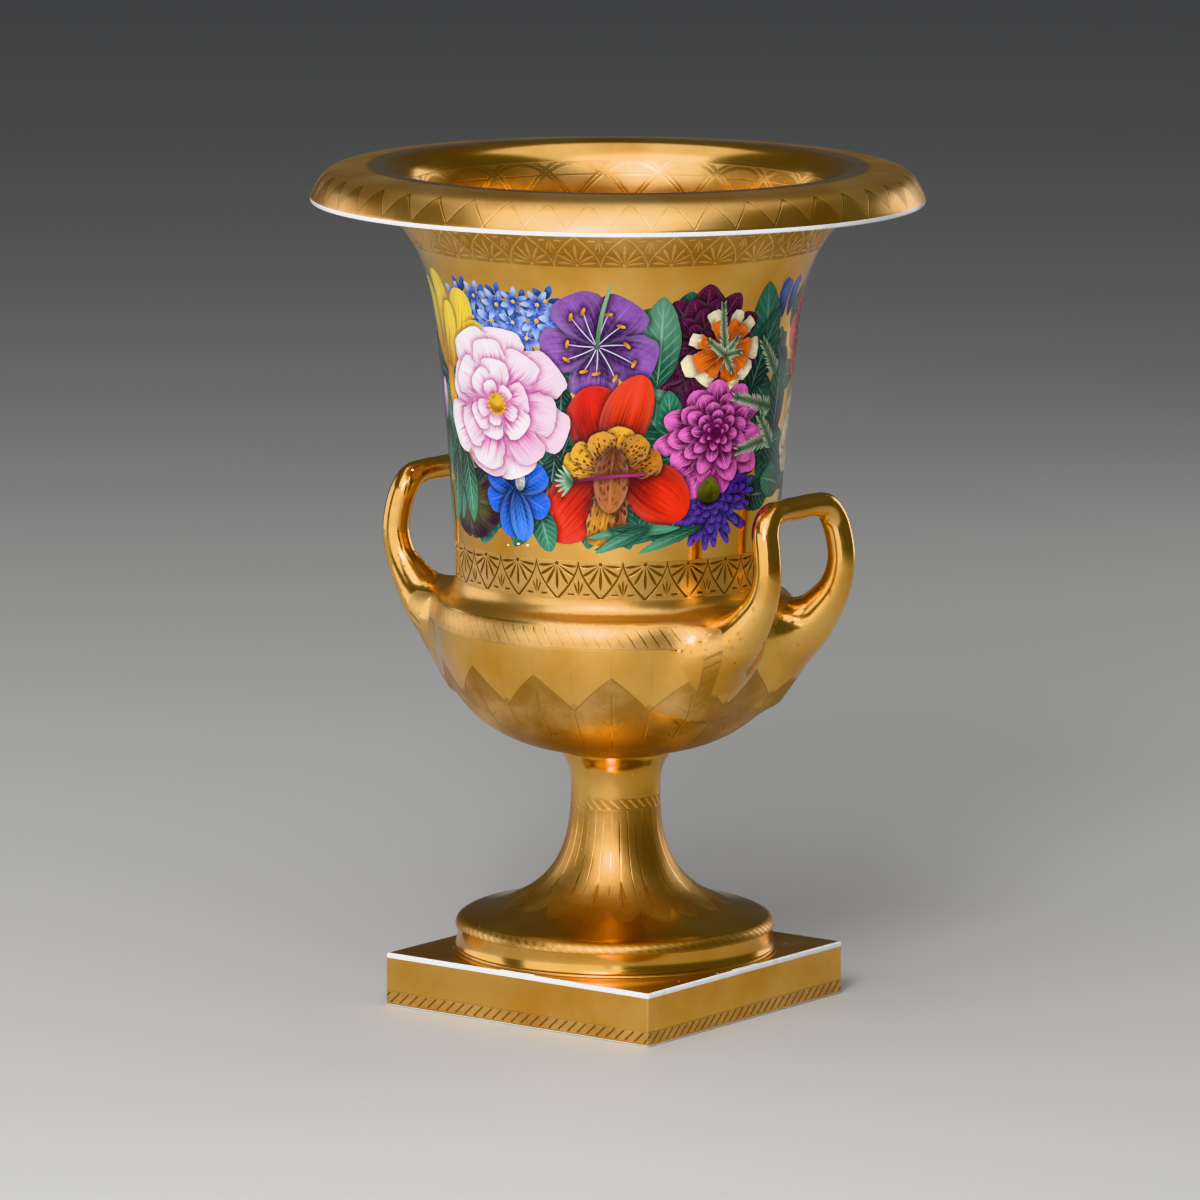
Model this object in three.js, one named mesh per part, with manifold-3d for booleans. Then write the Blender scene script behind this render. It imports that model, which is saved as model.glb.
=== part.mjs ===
// Mantel urn: a gilt porcelain vase with a flaring bell, two loop handles, a stemmed foot and a square plinth.
// Millimetres, +Z up, origin at the middle of the underside, handles along X, the painted front towards -Y.
import * as THREE from 'three';
import { mergeVertices } from 'three/addons/utils/BufferGeometryUtils.js';
import Module from 'manifold-3d';

// Plinth and the low round seat on it
const plinthSide = 150;
const plinthHeight = 24.5;
const plinthEdge = 1.1;
const seatRadius = 74.4;
const seatHeight = 1.7;

// Foot and stem, as radius and height
const jointGap = 0.3;
const ringRadius = 73.4;
const ringTop = 36;
const ringHollow = 1.6;
const footEdge = [66, 42];
const stemNeck = [20.6, 98];
const collar = [25.6, 117.2];
const collarTop = 118;

// Outside of the vessel, as radius and height
const bowlSeat = [24.5, collarTop + jointGap];
const bowlWidest = [83.6, 176];
const shoulder = [78, 190];
const bellFoot = [73.4, 198];
const flare = [82, 308];
const neck = [98.6, 358.5];
const rollUnder = [117, 379.8];
const lipRadius = 139.6;
const lipBottom = 369.9;
const lipEdge = 2.2;
const crest = [108, 386];

// Inside of the vessel
const wall = 5.4;
const floorRadius = 20;
const aboveMouth = 10;

// Pulls that round each stretch of the profiles
const pull = {
  ring: [[ringRadius - ringHollow, 31]],
  footEdge: [[73.3, 39.4], [70.2, 41.1]],
  foot: [[31, 49.5], [20.2, 67.6]],
  stem: [[20, 110.5], [23.6, 112.6]],
  bowl: [[64.6, 122.2], [80.5, 147]],
  shoulder: [[84, 183.5], [81.6, 187.6]],
  cove: [[75.2, 191.8], [73.5, 194]],
  bell: [[76.2, 258]],
  flare: [[83.6, 330], [88.6, 347]],
  roll: [[103.5, 365], [105, 379.5]],
  underLip: [[129, 380], [136.5, 376.5]],
  lip: [[133.8, 385.6], [131, crest[1]]],
  mouth: [[93.5, 375.5], [100.5, crest[1]]],
};

// Handles: half of one loop's centreline, from the root in the bowl up to the middle of the top bar.
// Each place ends with the strand's half thickness and half width there.
const handleHalf = [
  [59.6, 21.8, 152, 12.2, 16],
  [75.6, 25.4, 171.1, 13.7, 16],
  [86.4, 26.5, 179.8, 12.2, 14],
  [95.2, 27.4, 188.7, 9.8, 10],
  [102.5, 28.2, 199.4, 7.4, 7],
  [105.6, 28.5, 211, 6.3, 6.3],
  [104.8, 28, 222, 6.2, 6.2],
  [102.8, 26.4, 230.8, 6.2, 6.2],
  [101.8, 21.6, 236.6, 5.9, 5.9],
  [101.4, 12, 238.4, 5.3, 5.3],
  [101.4, 0, 238.4, 5.3, 5.3],
];

// Facets
const turnSteps = 48;
const strandSides = 12;
const strandSteps = 36;

const wasm = await Module();
wasm.setup();

// A closed solid from a geometry, with shared corners merged and the slivers at the axis left out
function solidOf(geometry) {
  const plain = geometry.clone();
  plain.deleteAttribute('normal');
  plain.deleteAttribute('uv');
  const merged = mergeVertices(plain, 1e-3);
  const corners = merged.index.array;
  const kept = [];
  for (let i = 0; i < corners.length; i += 3) {
    const [a, b, c] = corners.slice(i, i + 3);
    if (a !== b && b !== c && c !== a) kept.push(a, b, c);
  }
  const vertProperties = new Float32Array(merged.attributes.position.array);
  const triVerts = new Uint32Array(kept);
  return new wasm.Manifold(new wasm.Mesh({ numProp: 3, vertProperties, triVerts }));
}

function geometryOf(solid) {
  const { vertProperties, triVerts } = solid.getMesh();
  const geometry = new THREE.BufferGeometry();
  geometry.setAttribute('position', new THREE.BufferAttribute(new Float32Array(vertProperties), 3));
  geometry.setIndex(new THREE.BufferAttribute(new Uint32Array(triVerts), 1));
  geometry.computeVertexNormals();
  return geometry;
}

const at = ([radius, height]) => new THREE.Vector2(radius, height);

// A rounded stretch of profile: one pull makes a plain bow, two make an S
function bend(from, pulls, to, steps) {
  const Curve = pulls.length === 1 ? THREE.QuadraticBezierCurve : THREE.CubicBezierCurve;
  return new Curve(at(from), ...pulls.map(at), at(to)).getPoints(steps);
}

// Turns a profile about Z, dropping a point that repeats the one before it
function turned(...stretches) {
  const points = stretches.flat().filter((p, i, all) => i === 0 || p.distanceTo(all[i - 1]) > 1e-3);
  return new THREE.LatheGeometry(points, turnSteps).rotateX(Math.PI / 2);
}

// The wall's outer face, from the bowl's seat up to the neck
function wallProfile() {
  const stretches = [
    bend(bowlSeat, pull.bowl, bowlWidest, 7),
    bend(bowlWidest, pull.shoulder, shoulder, 3),
    bend(shoulder, pull.cove, bellFoot, 3),
    bend(bellFoot, pull.bell, flare, 3),
    bend(flare, pull.flare, neck, 4),
  ];
  return stretches.flat().filter((p, i, all) => i === 0 || p.distanceTo(all[i - 1]) > 1e-3);
}

function vesselOutside() {
  const lipUnder = [lipRadius - 1.6, lipBottom];
  const lipTop = [lipRadius, lipBottom + lipEdge];
  return turned(
    at([0, bowlSeat[1]]),
    wallProfile(),
    bend(neck, pull.roll, rollUnder, 3),
    bend(rollUnder, pull.underLip, lipUnder, 3),
    at([lipRadius, lipBottom + 0.4]),
    bend(lipTop, pull.lip, crest, 6),
    at([0, crest[1]]),
  );
}

// The cavity keeps the wall's thickness from the outer face and runs on above the mouth
function vesselInside() {
  const outer = wallProfile();
  const inner = outer.map((p, i) => {
    const before = outer[Math.max(i - 1, 0)];
    const after = outer[Math.min(i + 1, outer.length - 1)];
    const along = after.clone().sub(before).normalize();
    return new THREE.Vector2(p.x - wall * along.y, p.y + wall * along.x);
  });
  const [throat] = inner.slice(-1);
  const floor = inner[1].y;
  return turned(
    at([0, floor]),
    at([floorRadius, floor]),
    inner.slice(2),
    bend(throat.toArray(), pull.mouth, crest, 4),
    at([crest[0], crest[1] + aboveMouth]),
    at([0, crest[1] + aboveMouth]),
  );
}

// One loop: a strand bent along the centreline, broad at its two roots and slimmer along the top bar
function handleLoop() {
  const rising = handleHalf.map(([x, y, z]) => new THREE.Vector3(x, -y, z));
  const falling = handleHalf.slice(0, -1).reverse().map(([x, y, z]) => new THREE.Vector3(x, y, z));
  const path = new THREE.CatmullRomCurve3([...rising, ...falling]);
  const halves = handleHalf.map(([, , , thick, wide]) => new THREE.Vector3(thick, wide, 0));
  const section = new THREE.CatmullRomCurve3([...halves, ...halves.slice(0, -1).reverse()]);
  const outward = new THREE.Vector3(1, 0, 0);
  const strand = new THREE.CylinderGeometry(1, 1, 1, strandSides, strandSteps);
  const corner = strand.attributes.position;
  for (let i = 0; i < corner.count; i++) {
    const along = THREE.MathUtils.clamp(corner.getY(i) + 0.5, 0, 1);
    const { x: thick, y: wide } = section.getPoint(along);
    const tangent = path.getTangent(along);
    const normal = outward.clone().addScaledVector(tangent, -outward.dot(tangent)).normalize();
    const across = normal.clone().cross(tangent);
    const place = path.getPoint(along);
    place.addScaledVector(normal, corner.getX(i) * thick);
    place.addScaledVector(across, corner.getZ(i) * wide);
    corner.setXYZ(i, place.x, place.y, place.z);
  }
  return strand;
}

// Bell, bowl and both handles are one piece of porcelain
function urnBody() {
  const loop = handleLoop();
  const right = solidOf(loop);
  const left = solidOf(loop.clone().rotateZ(Math.PI));
  const outside = solidOf(vesselOutside()).add(right).add(left);
  return geometryOf(outside.subtract(solidOf(vesselInside())));
}

function stemAndFoot() {
  const bottom = plinthHeight + seatHeight + jointGap;
  const profile = turned(
    at([0, bottom]),
    at([ringRadius - 0.5, bottom]),
    bend([ringRadius, bottom + 0.6], pull.ring, [ringRadius - 0.4, ringTop - 0.3], 3),
    bend([ringRadius, ringTop], pull.footEdge, footEdge, 3),
    bend(footEdge, pull.foot, stemNeck, 8),
    bend(stemNeck, pull.stem, collar, 3),
    at([collar[0] - 0.4, collarTop]),
    at([0, collarTop]),
  );
  return geometryOf(solidOf(profile));
}

function squarePlinth() {
  const half = plinthSide / 2 - plinthEdge;
  const square = new THREE.Shape([[-half, -half], [half, -half], [half, half], [-half, half]].map(at));
  const slab = new THREE.ExtrudeGeometry(square, {
    depth: plinthHeight - 2 * plinthEdge,
    bevelThickness: plinthEdge,
    bevelSize: plinthEdge,
    bevelSegments: 2,
  });
  slab.translate(0, 0, plinthEdge);
  const seatFoot = plinthHeight + 0.4;
  const seatTop = plinthHeight + seatHeight;
  const seatInner = ringRadius - 0.6;
  const seat = turned(
    at([0, plinthHeight / 2]),
    at([seatRadius, plinthHeight / 2]),
    bend([seatRadius, seatFoot], [[seatInner, seatFoot]], [seatInner, seatTop], 2),
    at([0, seatTop]),
  );
  return geometryOf(solidOf(slab).add(solidOf(seat)));
}

const burnishedGold = { color: 0xd9a441, roughness: 0.18, metalness: 1 };
const tooledGold = { color: 0xc4923c, roughness: 0.32, metalness: 1 };

function piece(name, geometry, finish) {
  const mesh = new THREE.Mesh(geometry, new THREE.MeshStandardMaterial(finish));
  mesh.name = name;
  return mesh;
}

const group = new THREE.Group();
group.add(piece('urn_body', urnBody(), burnishedGold));
group.add(piece('stem_foot', stemAndFoot(), tooledGold));
group.add(piece('square_plinth', squarePlinth(), burnishedGold));

export default group;
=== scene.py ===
# Mantel urn: a gilt porcelain vase with a painted bell, loop handles, a stemmed foot and a square plinth.
# The scene is in metres, with +Z up and the handles along X. Profiles and paintwork are in millimetres.
import math
import random
from functools import partial, partialmethod

import bmesh
import bpy
import numpy as np
from mathutils import Matrix, Vector
from mathutils.geometry import delaunay_2d_cdt


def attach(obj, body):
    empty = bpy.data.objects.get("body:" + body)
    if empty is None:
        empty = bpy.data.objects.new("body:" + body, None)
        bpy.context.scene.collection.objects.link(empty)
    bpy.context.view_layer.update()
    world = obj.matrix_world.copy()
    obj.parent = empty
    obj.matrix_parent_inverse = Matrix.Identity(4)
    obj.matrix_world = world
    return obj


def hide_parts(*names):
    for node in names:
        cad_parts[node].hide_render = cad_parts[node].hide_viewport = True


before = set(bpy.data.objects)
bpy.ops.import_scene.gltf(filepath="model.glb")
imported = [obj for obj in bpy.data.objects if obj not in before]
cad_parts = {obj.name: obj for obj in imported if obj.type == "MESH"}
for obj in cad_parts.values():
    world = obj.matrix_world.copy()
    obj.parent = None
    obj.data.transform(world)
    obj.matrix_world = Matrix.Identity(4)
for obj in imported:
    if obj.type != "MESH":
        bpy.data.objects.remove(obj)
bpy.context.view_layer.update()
mm = 0.001
turns = 192  # steps round every turned surface
onAxis = 1e-6
sharpAngle = math.radians(35)
vesselNode = ("urn_body", "gilt_painted_body")
print("stage: frame loaded")


# Profiles, as radius and height
def bend(start, pulls, end, steps):
    # one pull makes a plain bow, two make an S
    t = np.linspace(0, 1, steps + 1)[:, None]
    layers = [np.array(p, float) + 0 * t for p in (start, *pulls, end)]
    while len(layers) > 1:
        layers = [a * (1 - t) + b * t for a, b in zip(layers, layers[1:])]
    return layers[0]


def chain(*stretches):
    # one profile from stretches and single points, with no point twice in a row
    points = np.vstack([np.atleast_2d(np.array(s, float)) for s in stretches])
    gaps = np.linalg.norm(np.diff(points, axis=0), axis=1)
    return points[np.concatenate([[True], gaps > 1e-3])]


def unit(rows):
    return rows / np.maximum(np.linalg.norm(rows, axis=1), 1e-6)[:, None]


def turned(profile, closed=False):
    # points, faces and each face's row along the profile
    angle = 2 * math.pi * np.arange(turns) / turns - math.pi
    ring = np.stack([np.sin(angle), -np.cos(angle), 0 * angle], axis=1)
    points, starts, faces, rows = [], [], [], []
    for radius, height in profile:
        starts.append(len(points))
        points.extend([(0, 0, height)] if radius < onAxis else ring * radius + (0, 0, height))
    count = len(profile)
    for row in range(count if closed else count - 1):
        high = (row + 1) % count
        a, b = starts[row], starts[high]
        for k in range(turns):
            m = (k + 1) % turns
            if profile[row][0] < onAxis:
                faces.append((a, b + m, b + k))
            elif profile[high][0] < onAxis:
                faces.append((a + k, a + m, b))
            else:
                faces.append((a + k, a + m, b + m, b + k))
            rows.append(row)
    return np.array(points), faces, rows


# Meshes and objects
def newMesh(name, points, faces):
    mesh = bpy.data.meshes.new(name)
    mesh.from_pydata((np.asarray(points) * mm).tolist(), [], faces)
    return mesh


def newObject(name, data):
    made = bpy.data.objects.new(name, data)
    bpy.context.scene.collection.objects.link(made)
    return made


def applied(body):
    # the mesh that an object's modifiers give
    bpy.context.view_layer.update()
    return bpy.data.meshes.new_from_object(body.evaluated_get(bpy.context.evaluated_depsgraph_get()))


def readArray(items, field, width=1, kind=float):
    values = np.empty(len(items) * width, kind)
    items.foreach_get(field, values)
    return values.reshape(-1, width) if width > 1 else values


def followSkin(mesh, onSkin, slope):
    # corners on the skin take its own normals, except those that face well away, past a hard edge
    normals = readArray(mesh.corner_normals, "vector", 3)
    corner = readArray(mesh.loops, "vertex_index", kind=np.int32)
    soft = onSkin[corner] & ((normals * slope[corner]).sum(axis=1) > 0.6)
    normals[soft] = slope[corner][soft]
    mesh.normals_split_custom_set(normals.tolist())


def newPiece(name, points, faces, materials, node, slotName, picks=None):
    mesh = newMesh(name, points, faces)
    for material in materials:
        mesh.materials.append(material)
    if picks is not None:
        mesh.polygons.foreach_set("material_index", np.array(picks, np.int32))
    mesh.shade_smooth()
    mesh.set_sharp_from_angle(angle=sharpAngle)
    piece = newObject(name, mesh)
    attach(piece, "root")
    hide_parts(node)
    return piece


# Vessel: the profile that lip, bell and bowl share
vessel = {
    "bowlSeat": (24.5, 118.3), "bowlWidest": (83.6, 176), "shoulder": (78, 190), "bellFoot": (73.4, 198),
    "flare": (82, 308), "neck": (98.6, 358.5), "rollUnder": (117, 379.8), "crest": (108, 386),
    "lipRadius": 139.6, "lipBottom": 369.9, "lipEdge": 2.2, "wall": 5.4, "floor": 126.0,
    "bowlPulls": [(64.6, 122.2), (80.5, 147)], "shoulderPulls": [(84, 183.5), (81.6, 187.6)],
    "covePulls": [(75.2, 191.8), (73.5, 194)], "bellPulls": [(76.2, 258)],
    "flarePulls": [(83.6, 330), (88.6, 347)], "rollPulls": [(103.5, 365), (105, 379.5)],
    "underLipPulls": [(129, 380), (136.5, 376.5)], "lipPulls": [(133.8, 385.6), (131, 386)],
    "mouthPulls": [(93.5, 375.5), (100.5, 386)],
}

wallOutside = chain(
    bend(vessel["bowlSeat"], vessel["bowlPulls"], vessel["bowlWidest"], 44),
    bend(vessel["bowlWidest"], vessel["shoulderPulls"], vessel["shoulder"], 12),
    bend(vessel["shoulder"], vessel["covePulls"], vessel["bellFoot"], 12),
    bend(vessel["bellFoot"], vessel["bellPulls"], vessel["flare"], 40),
    bend(vessel["flare"], vessel["flarePulls"], vessel["neck"], 24),
)
wallSlope = unit(np.gradient(wallOutside, axis=0))
wallInside = wallOutside + vessel["wall"] * np.stack([-wallSlope[:, 1], wallSlope[:, 0]], axis=1)
wallInside = wallInside[wallInside[:, 1] > vessel["floor"]]
seam = vessel["bellFoot"][1]  # height where bowl and bell meet
seamInside = (np.interp(seam, wallInside[:, 1], wallInside[:, 0]), seam)


def radiusAt(height):
    return np.interp(height, wallOutside[:, 1], wallOutside[:, 0])


# Shader arithmetic
class Field:
    # a shader value that takes plain arithmetic
    def __init__(self, tree, socket):
        self.tree = tree
        self.socket = socket

    def math(self, operation, *others):
        node = self.tree.nodes.new("ShaderNodeMath")
        node.operation = operation
        for slot, value in zip(node.inputs, (self, *others)):
            plug(self.tree, value, slot)
        return Field(self.tree, node.outputs[0])

    __add__ = __radd__ = partialmethod(math, "ADD")
    __mul__ = __rmul__ = partialmethod(math, "MULTIPLY")
    __sub__ = partialmethod(math, "SUBTRACT")
    __truediv__ = partialmethod(math, "DIVIDE")
    __pow__ = partialmethod(math, "POWER")
    __abs__ = partialmethod(math, "ABSOLUTE")
    root = partialmethod(math, "SQRT")

    def __rsub__(self, other):
        return self * -1 + other


def plug(tree, value, slot):
    if isinstance(value, Field):
        tree.links.new(value.socket, slot)
    else:
        slot.default_value = value


def ease(value, low, high):
    # 0 at low, 1 at high, smooth between; low may be the larger
    node = value.tree.nodes.new("ShaderNodeMapRange")
    node.interpolation_type = "SMOOTHSTEP"
    for label, given in (("Value", value), ("From Min", low), ("From Max", high)):
        plug(value.tree, given, node.inputs[label])
    return Field(value.tree, node.outputs["Result"])


def span(value, start, full, fade, end):
    # rises from start to full and falls from fade to end
    return ease(value, start, full) * ease(value, end, fade)


def soften(distance):
    # 1 inside an outline, 0 outside, from the distance to it in mm
    return ease(distance, 0.12, -0.12)


def fold(operation, first, *others):
    for other in others:
        first = first.math(operation, other)
    return first


most = partial(fold, "MAXIMUM")
least = partial(fold, "MINIMUM")


def share01(value):
    return least(most(value, 0.0), 1.0)


def cell(value):
    # place inside a repeat, from -0.5 to 0.5
    return (value + 0.5).math("FRACT") - 0.5


def vector(x, y, z):
    node = x.tree.nodes.new("ShaderNodeCombineXYZ")
    for slot, value in zip(node.inputs, (x, y, z)):
        plug(x.tree, value, slot)
    return Field(x.tree, node.outputs[0])


def apart(place):
    node = place.tree.nodes.new("ShaderNodeSeparateXYZ")
    plug(place.tree, place, node.inputs[0])
    return [Field(place.tree, out) for out in node.outputs]


def objectPlace(tree):
    return Field(tree, tree.nodes.new("ShaderNodeTexCoord").outputs["Object"])


def noise(place, scale, detail, rough):
    node = place.tree.nodes.new("ShaderNodeTexNoise")
    for label, value in (("Vector", place), ("Scale", scale), ("Detail", detail), ("Roughness", rough)):
        plug(place.tree, value, node.inputs[label])
    return Field(place.tree, node.outputs[0])


def blend(factor, first, second, how="MIX"):
    # colours, given as fields or as linear tuples
    tree = next(value.tree for value in (factor, first, second) if isinstance(value, Field))
    node = tree.nodes.new("ShaderNodeMix")
    node.data_type = "RGBA"
    node.blend_type = how
    for slot, value in ((0, factor), (6, first), (7, second)):  # the node's sockets for colours
        plug(tree, value, node.inputs[slot])
    return Field(tree, node.outputs[2])


def tint(text):
    # hex text to linear colour
    parts = [int(text[i:i + 2], 16) / 255 for i in (0, 2, 4)]
    return tuple(c / 12.92 if c <= 0.04045 else ((c + 0.055) / 1.055) ** 2.4 for c in parts) + (1.0,)


def nodeGroup(name, **inputs):
    # makes a node group from a function of its inputs that returns its outputs by name
    def build(draw):
        tree = bpy.data.node_groups.new(name, "ShaderNodeTree")
        for label, value in inputs.items():
            socket = tree.interface.new_socket(label, in_out="INPUT", socket_type="NodeSocketFloat")
            socket.default_value = value
        enter = tree.nodes.new("NodeGroupInput")
        outputs = draw(*[Field(tree, enter.outputs[label]) for label in inputs])
        for label in outputs:
            kind = "NodeSocketColor" if label == "Colour" else "NodeSocketFloat"
            tree.interface.new_socket(label, in_out="OUTPUT", socket_type=kind)
        leave = tree.nodes.new("NodeGroupOutput")
        for label, value in outputs.items():
            plug(tree, value, leave.inputs[label])
        return tree
    return build


def useGroup(group, tree=None, **inputs):
    if tree is None:
        tree = next(value.tree for value in inputs.values() if isinstance(value, Field))
    node = tree.nodes.new("ShaderNodeGroup")
    node.node_tree = group
    for label, value in inputs.items():
        plug(tree, value, node.inputs[label])
    return {out.name: Field(tree, out) for out in node.outputs}


def ring(group, spot, low, high, **more):
    # a pattern that runs round the piece between two heights
    rise = (spot["Height"] - low) / (high - low)
    return useGroup(group, **{"Turn": spot["Turn"], "Rise": rise, **more})


# Place on the turned surface: turn from the front, the rest in mm
@nodeGroup("turnedPlace", Scale=1000)
def turnedPlace(scale):
    x, y, z = [part * scale for part in apart(objectPlace(scale.tree))]
    turn = x.math("ARCTAN2", y * -1) / (2 * math.pi)
    return {"Turn": turn, "Height": z, "Radius": (x * x + y * y).root(), "Across": x, "Deep": y}


def fan(x, y, strokes, spacing, start, length, shorten, breadth, curl):
    # a spray of burnished strokes from a point, the middle one along +y
    rho = (x * x + y * y).root()
    bent = x.math("ARCTAN2", y) / (1 + rho * curl)
    reach = (strokes - 1) / 2
    nearest = least(most((bent / spacing).math("ROUND"), -reach), reach)
    off = abs((bent - nearest * spacing) * rho)
    along = share01((rho - start) / (length - abs(nearest) * shorten))
    half = (along ** 1.1) * ((1 - along) ** 0.6) * (2.1 * breadth)
    return soften(off - half)


@nodeGroup("palmetteBand", Turn=0, Rise=0, Count=23, Pitch=20, Tall=18)
def palmetteBand(turn, rise, count, pitch, tall):
    # palmettes under arches, with a bud and a twig between each two
    x = cell(turn * count) * pitch
    y = (1 - rise) * tall
    fromApex = pitch * 0.5 - abs(x)
    palmette = fan(x, y - 1.4, 7, 0.43, 1.1, 10.6, 0.9, 0.85, 0.012)
    bud = fan(fromApex, tall - 1.5 - y, 3, 0.36, 0.6, 6.6, 1.0, 0.6, -0.02)
    twig = soften(abs(tall - 1.9 - y - fromApex * 0.06) - 0.42) * span(fromApex, 1.9, 2.3, 4.6, 5.4)
    share = most(y / tall, 0.0)
    arch = soften(abs(fromApex - pitch * 0.5 * share ** 1.75) - share * 0.5 - 0.2)
    dot = ease((x * x + (y - 1.4) * (y - 1.4)).root(), 0.95, 0.75)
    within = span(rise, 0.0, 0.02, 0.98, 1.0)
    return {"Matt": within, "Stroke": most(palmette, bud, twig, arch, dot) * within}


@nodeGroup("ropeBand", Turn=0, Rise=0, Count=96, Slant=1, Breadth=0.2)
def ropeBand(turn, rise, count, slant, breadth):
    # slanted strands between two border lines
    within = span(rise, -0.02, 0.02, 0.98, 1.02)
    swing = (rise - 0.5) * slant
    twist = abs(cell(turn * count + swing + (swing * 5).math("SINE") * 0.06))
    stroke = ease(twist, breadth * 1.3, breadth * 0.6) * span(rise, 0.05, 0.16, 0.84, 0.95)
    border = ease(abs(abs(rise - 0.5) - 0.47), 0.04, 0.015) * 0.5
    return {"Matt": within, "Stroke": most(stroke, border) * within}


@nodeGroup("tongueBand", Turn=0, Rise=0, Count=42, Peak=2)
def tongueBand(turn, rise, count, peak):
    # tongues with a fine outline; a lower peak makes them more pointed
    gap = 1 - (abs(cell(turn * count)) * 2) ** peak - rise
    above = ease(rise, -0.03, 0.0)
    return {"Inside": ease(gap, -0.03, 0.03) * above, "Stroke": ease(abs(gap + 0.08), 0.07, 0.03) * above}


@nodeGroup("leafCalyx", Turn=0, Rise=0, Count=14)
def leafCalyx(turn, rise, count):
    # two rows of pointed leaves that rise from the seat, with midribs and outlines
    front = abs(cell(turn * count))
    halfFront = ((1 - share01((rise - 0.22) / 0.78)) ** 0.9) * 1.03
    halfBehind = ((1 - share01((rise - 0.1) / 0.62)) ** 0.72) * 0.5
    leafFront = ease(front - halfFront, 0.012, -0.012)
    leafBehind = ease(0.5 - front - halfBehind, 0.012, -0.012)
    outline = ease(abs(front - halfFront + 0.018), 0.014, 0.006) * ease(rise, 0.3, 0.4)
    rib = ease(front, 0.016, 0.008) * span(rise, 0.16, 0.22, 0.8, 0.86)
    branch = ease(abs(cell(rise * 6.5 - front * 3.4)), 0.07, 0.03)
    branch = branch * span(front, 0.0, 0.03, 0.1, 0.2) * span(rise, 0.3, 0.36, 0.66, 0.74)
    parting = ease(0.5 - front, 0.014, 0.005) * span(rise, 0.1, 0.2, 0.58, 0.64)
    stroke = most(outline * 0.8, rib * 0.8, branch * 0.5, parting * 0.8) * leafFront
    return {"Matt": most(leafFront, leafBehind * 0.85), "Stroke": stroke}


@nodeGroup("lotusLeaves", Turn=0, Drop=0, Count=18)
def lotusLeaves(turn, drop, count):
    # long leaves that hang from the stem's rope and end in points on the foot
    side = abs(cell(turn * count))
    end = 1 - ((side * 2) ** 1.5) * 0.15
    leaf = ease(end - drop, -0.004, 0.012) * ease(drop, -0.02, 0.0)
    slim = most(1 - drop * 0.75, 0.2)
    border = ease(0.5 - side, slim * 0.05, slim * 0.02) * ease(drop, 0.82, 0.5)
    rib = ease(side, slim * 0.07, slim * 0.03) * span(drop, 0.0, 0.12, 0.7, 0.88)
    fork = ease(abs(side - (drop - 0.42) * 0.34), slim * 0.05, slim * 0.02)
    fork = fork * span(drop, 0.4, 0.46, 0.6, 0.84)
    rim = ease(abs(end - drop - 0.02), 0.012, 0.004) * 0.5
    return {"Matt": leaf, "Stroke": most(border, rib, fork * 0.8, rim) * leaf}


giltTones = {
    # stroke is the dark brown of painted shade on tooled strokes
    "burnished": "efbd70", "deep": "e4aa58", "matt": "e9be7e", "mattDeep": "d0a062", "stroke": "64420f",
    "dustShadeTone": "b3854a", "rubbed": "e9e2d2",
}


@nodeGroup("giltFinish", Matt=0, Stroke=0, Rubbed=0, Ink=0.75, Dust=0)
def giltFinish(matt, stroke, rubbed, ink, dust):
    # burnished or matt gold with polishing marks, tarnish and rubbed spots; strokes darkened as painted
    # shade, and the matt ground darkened with dirt and painted shade
    tone = {name: tint(text) for name, text in giltTones.items()}
    place = objectPlace(matt.tree)
    spot = useGroup(turnedPlace, matt.tree)
    polish = noise(vector(spot["Turn"] * 26, spot["Height"] * 1.6, spot["Radius"] * 0.2), 1.0, 4.0, 0.6)
    cloud = noise(place, 26.0, 4.0, 0.55)
    grain = noise(place, 900.0, 2.0, 0.6)
    speck = noise(place, 240.0, 2.0, 0.5)
    level = matt * (1 - stroke)
    bright = blend(ease(cloud, 0.38, 0.68), tone["burnished"], tone["deep"])
    dull = blend(ease(cloud + grain * 0.3, 0.45, 0.85), tone["matt"], tone["mattDeep"])
    # darker matt ground: part dirt, part painted shade, as the masks ask
    dull = blend(dust * ease(cloud, 0.25, 0.6), dull, tone["dustShadeTone"])
    # painted shade: the tooled strokes are darkened towards a dark brown
    gold = blend(stroke * ink, blend(level, bright, dull), tone["stroke"])
    worn = ease(speck + rubbed * 0.35, 0.83, 0.88) * ease(rubbed, 0.0, 0.3)
    shine = 0.055 + polish * 0.06 + ease(cloud, 0.45, 0.75) * 0.025
    return {
        "Colour": blend(worn, gold, tone["rubbed"]),
        "Roughness": shine + level * (0.27 + grain * 0.1) + worn * 0.2,
        "Metal": 1 - worn,
        "Height": grain * level * 0.5 - stroke + polish * 0.05,
    }


# Materials
def newMaterial(name):
    material = bpy.data.materials.new(name)
    material.use_nodes = True
    return material, material.node_tree, material.node_tree.nodes["Principled BSDF"]


def addBump(tree, shader, height, distance, strength):
    bump = tree.nodes.new("ShaderNodeBump")
    bump.inputs["Distance"].default_value = distance * mm
    bump.inputs["Strength"].default_value = strength
    plug(tree, height, bump.inputs["Height"])
    tree.links.new(bump.outputs[0], shader.inputs["Normal"])


def gild(name, masks, depth=0.12):
    # a gold material; masks gives the finish its inputs from the place on the piece
    material, tree, shader = newMaterial(name)
    finish = useGroup(giltFinish, tree, **masks(useGroup(turnedPlace, tree)))
    for label, socket in (("Colour", "Base Color"), ("Roughness", "Roughness"), ("Metal", "Metallic")):
        plug(tree, finish[label], shader.inputs[socket])
    addBump(tree, shader, finish["Height"], depth, 0.6)
    return material


def bareWhite():
    # bare white edge with a little warm soil
    material, tree, shader = newMaterial("barePorcelain")
    soil = ease(noise(objectPlace(tree), 160.0, 4.0, 0.6), 0.52, 0.8)
    plug(tree, blend(soil * 0.5, tint("edeef2"), tint("cbb894")), shader.inputs["Base Color"])
    plug(tree, 0.22 + soil * 0.3, shader.inputs["Roughness"])
    return material


barePorcelain = bareWhite()
print("stage: node groups made")


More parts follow.
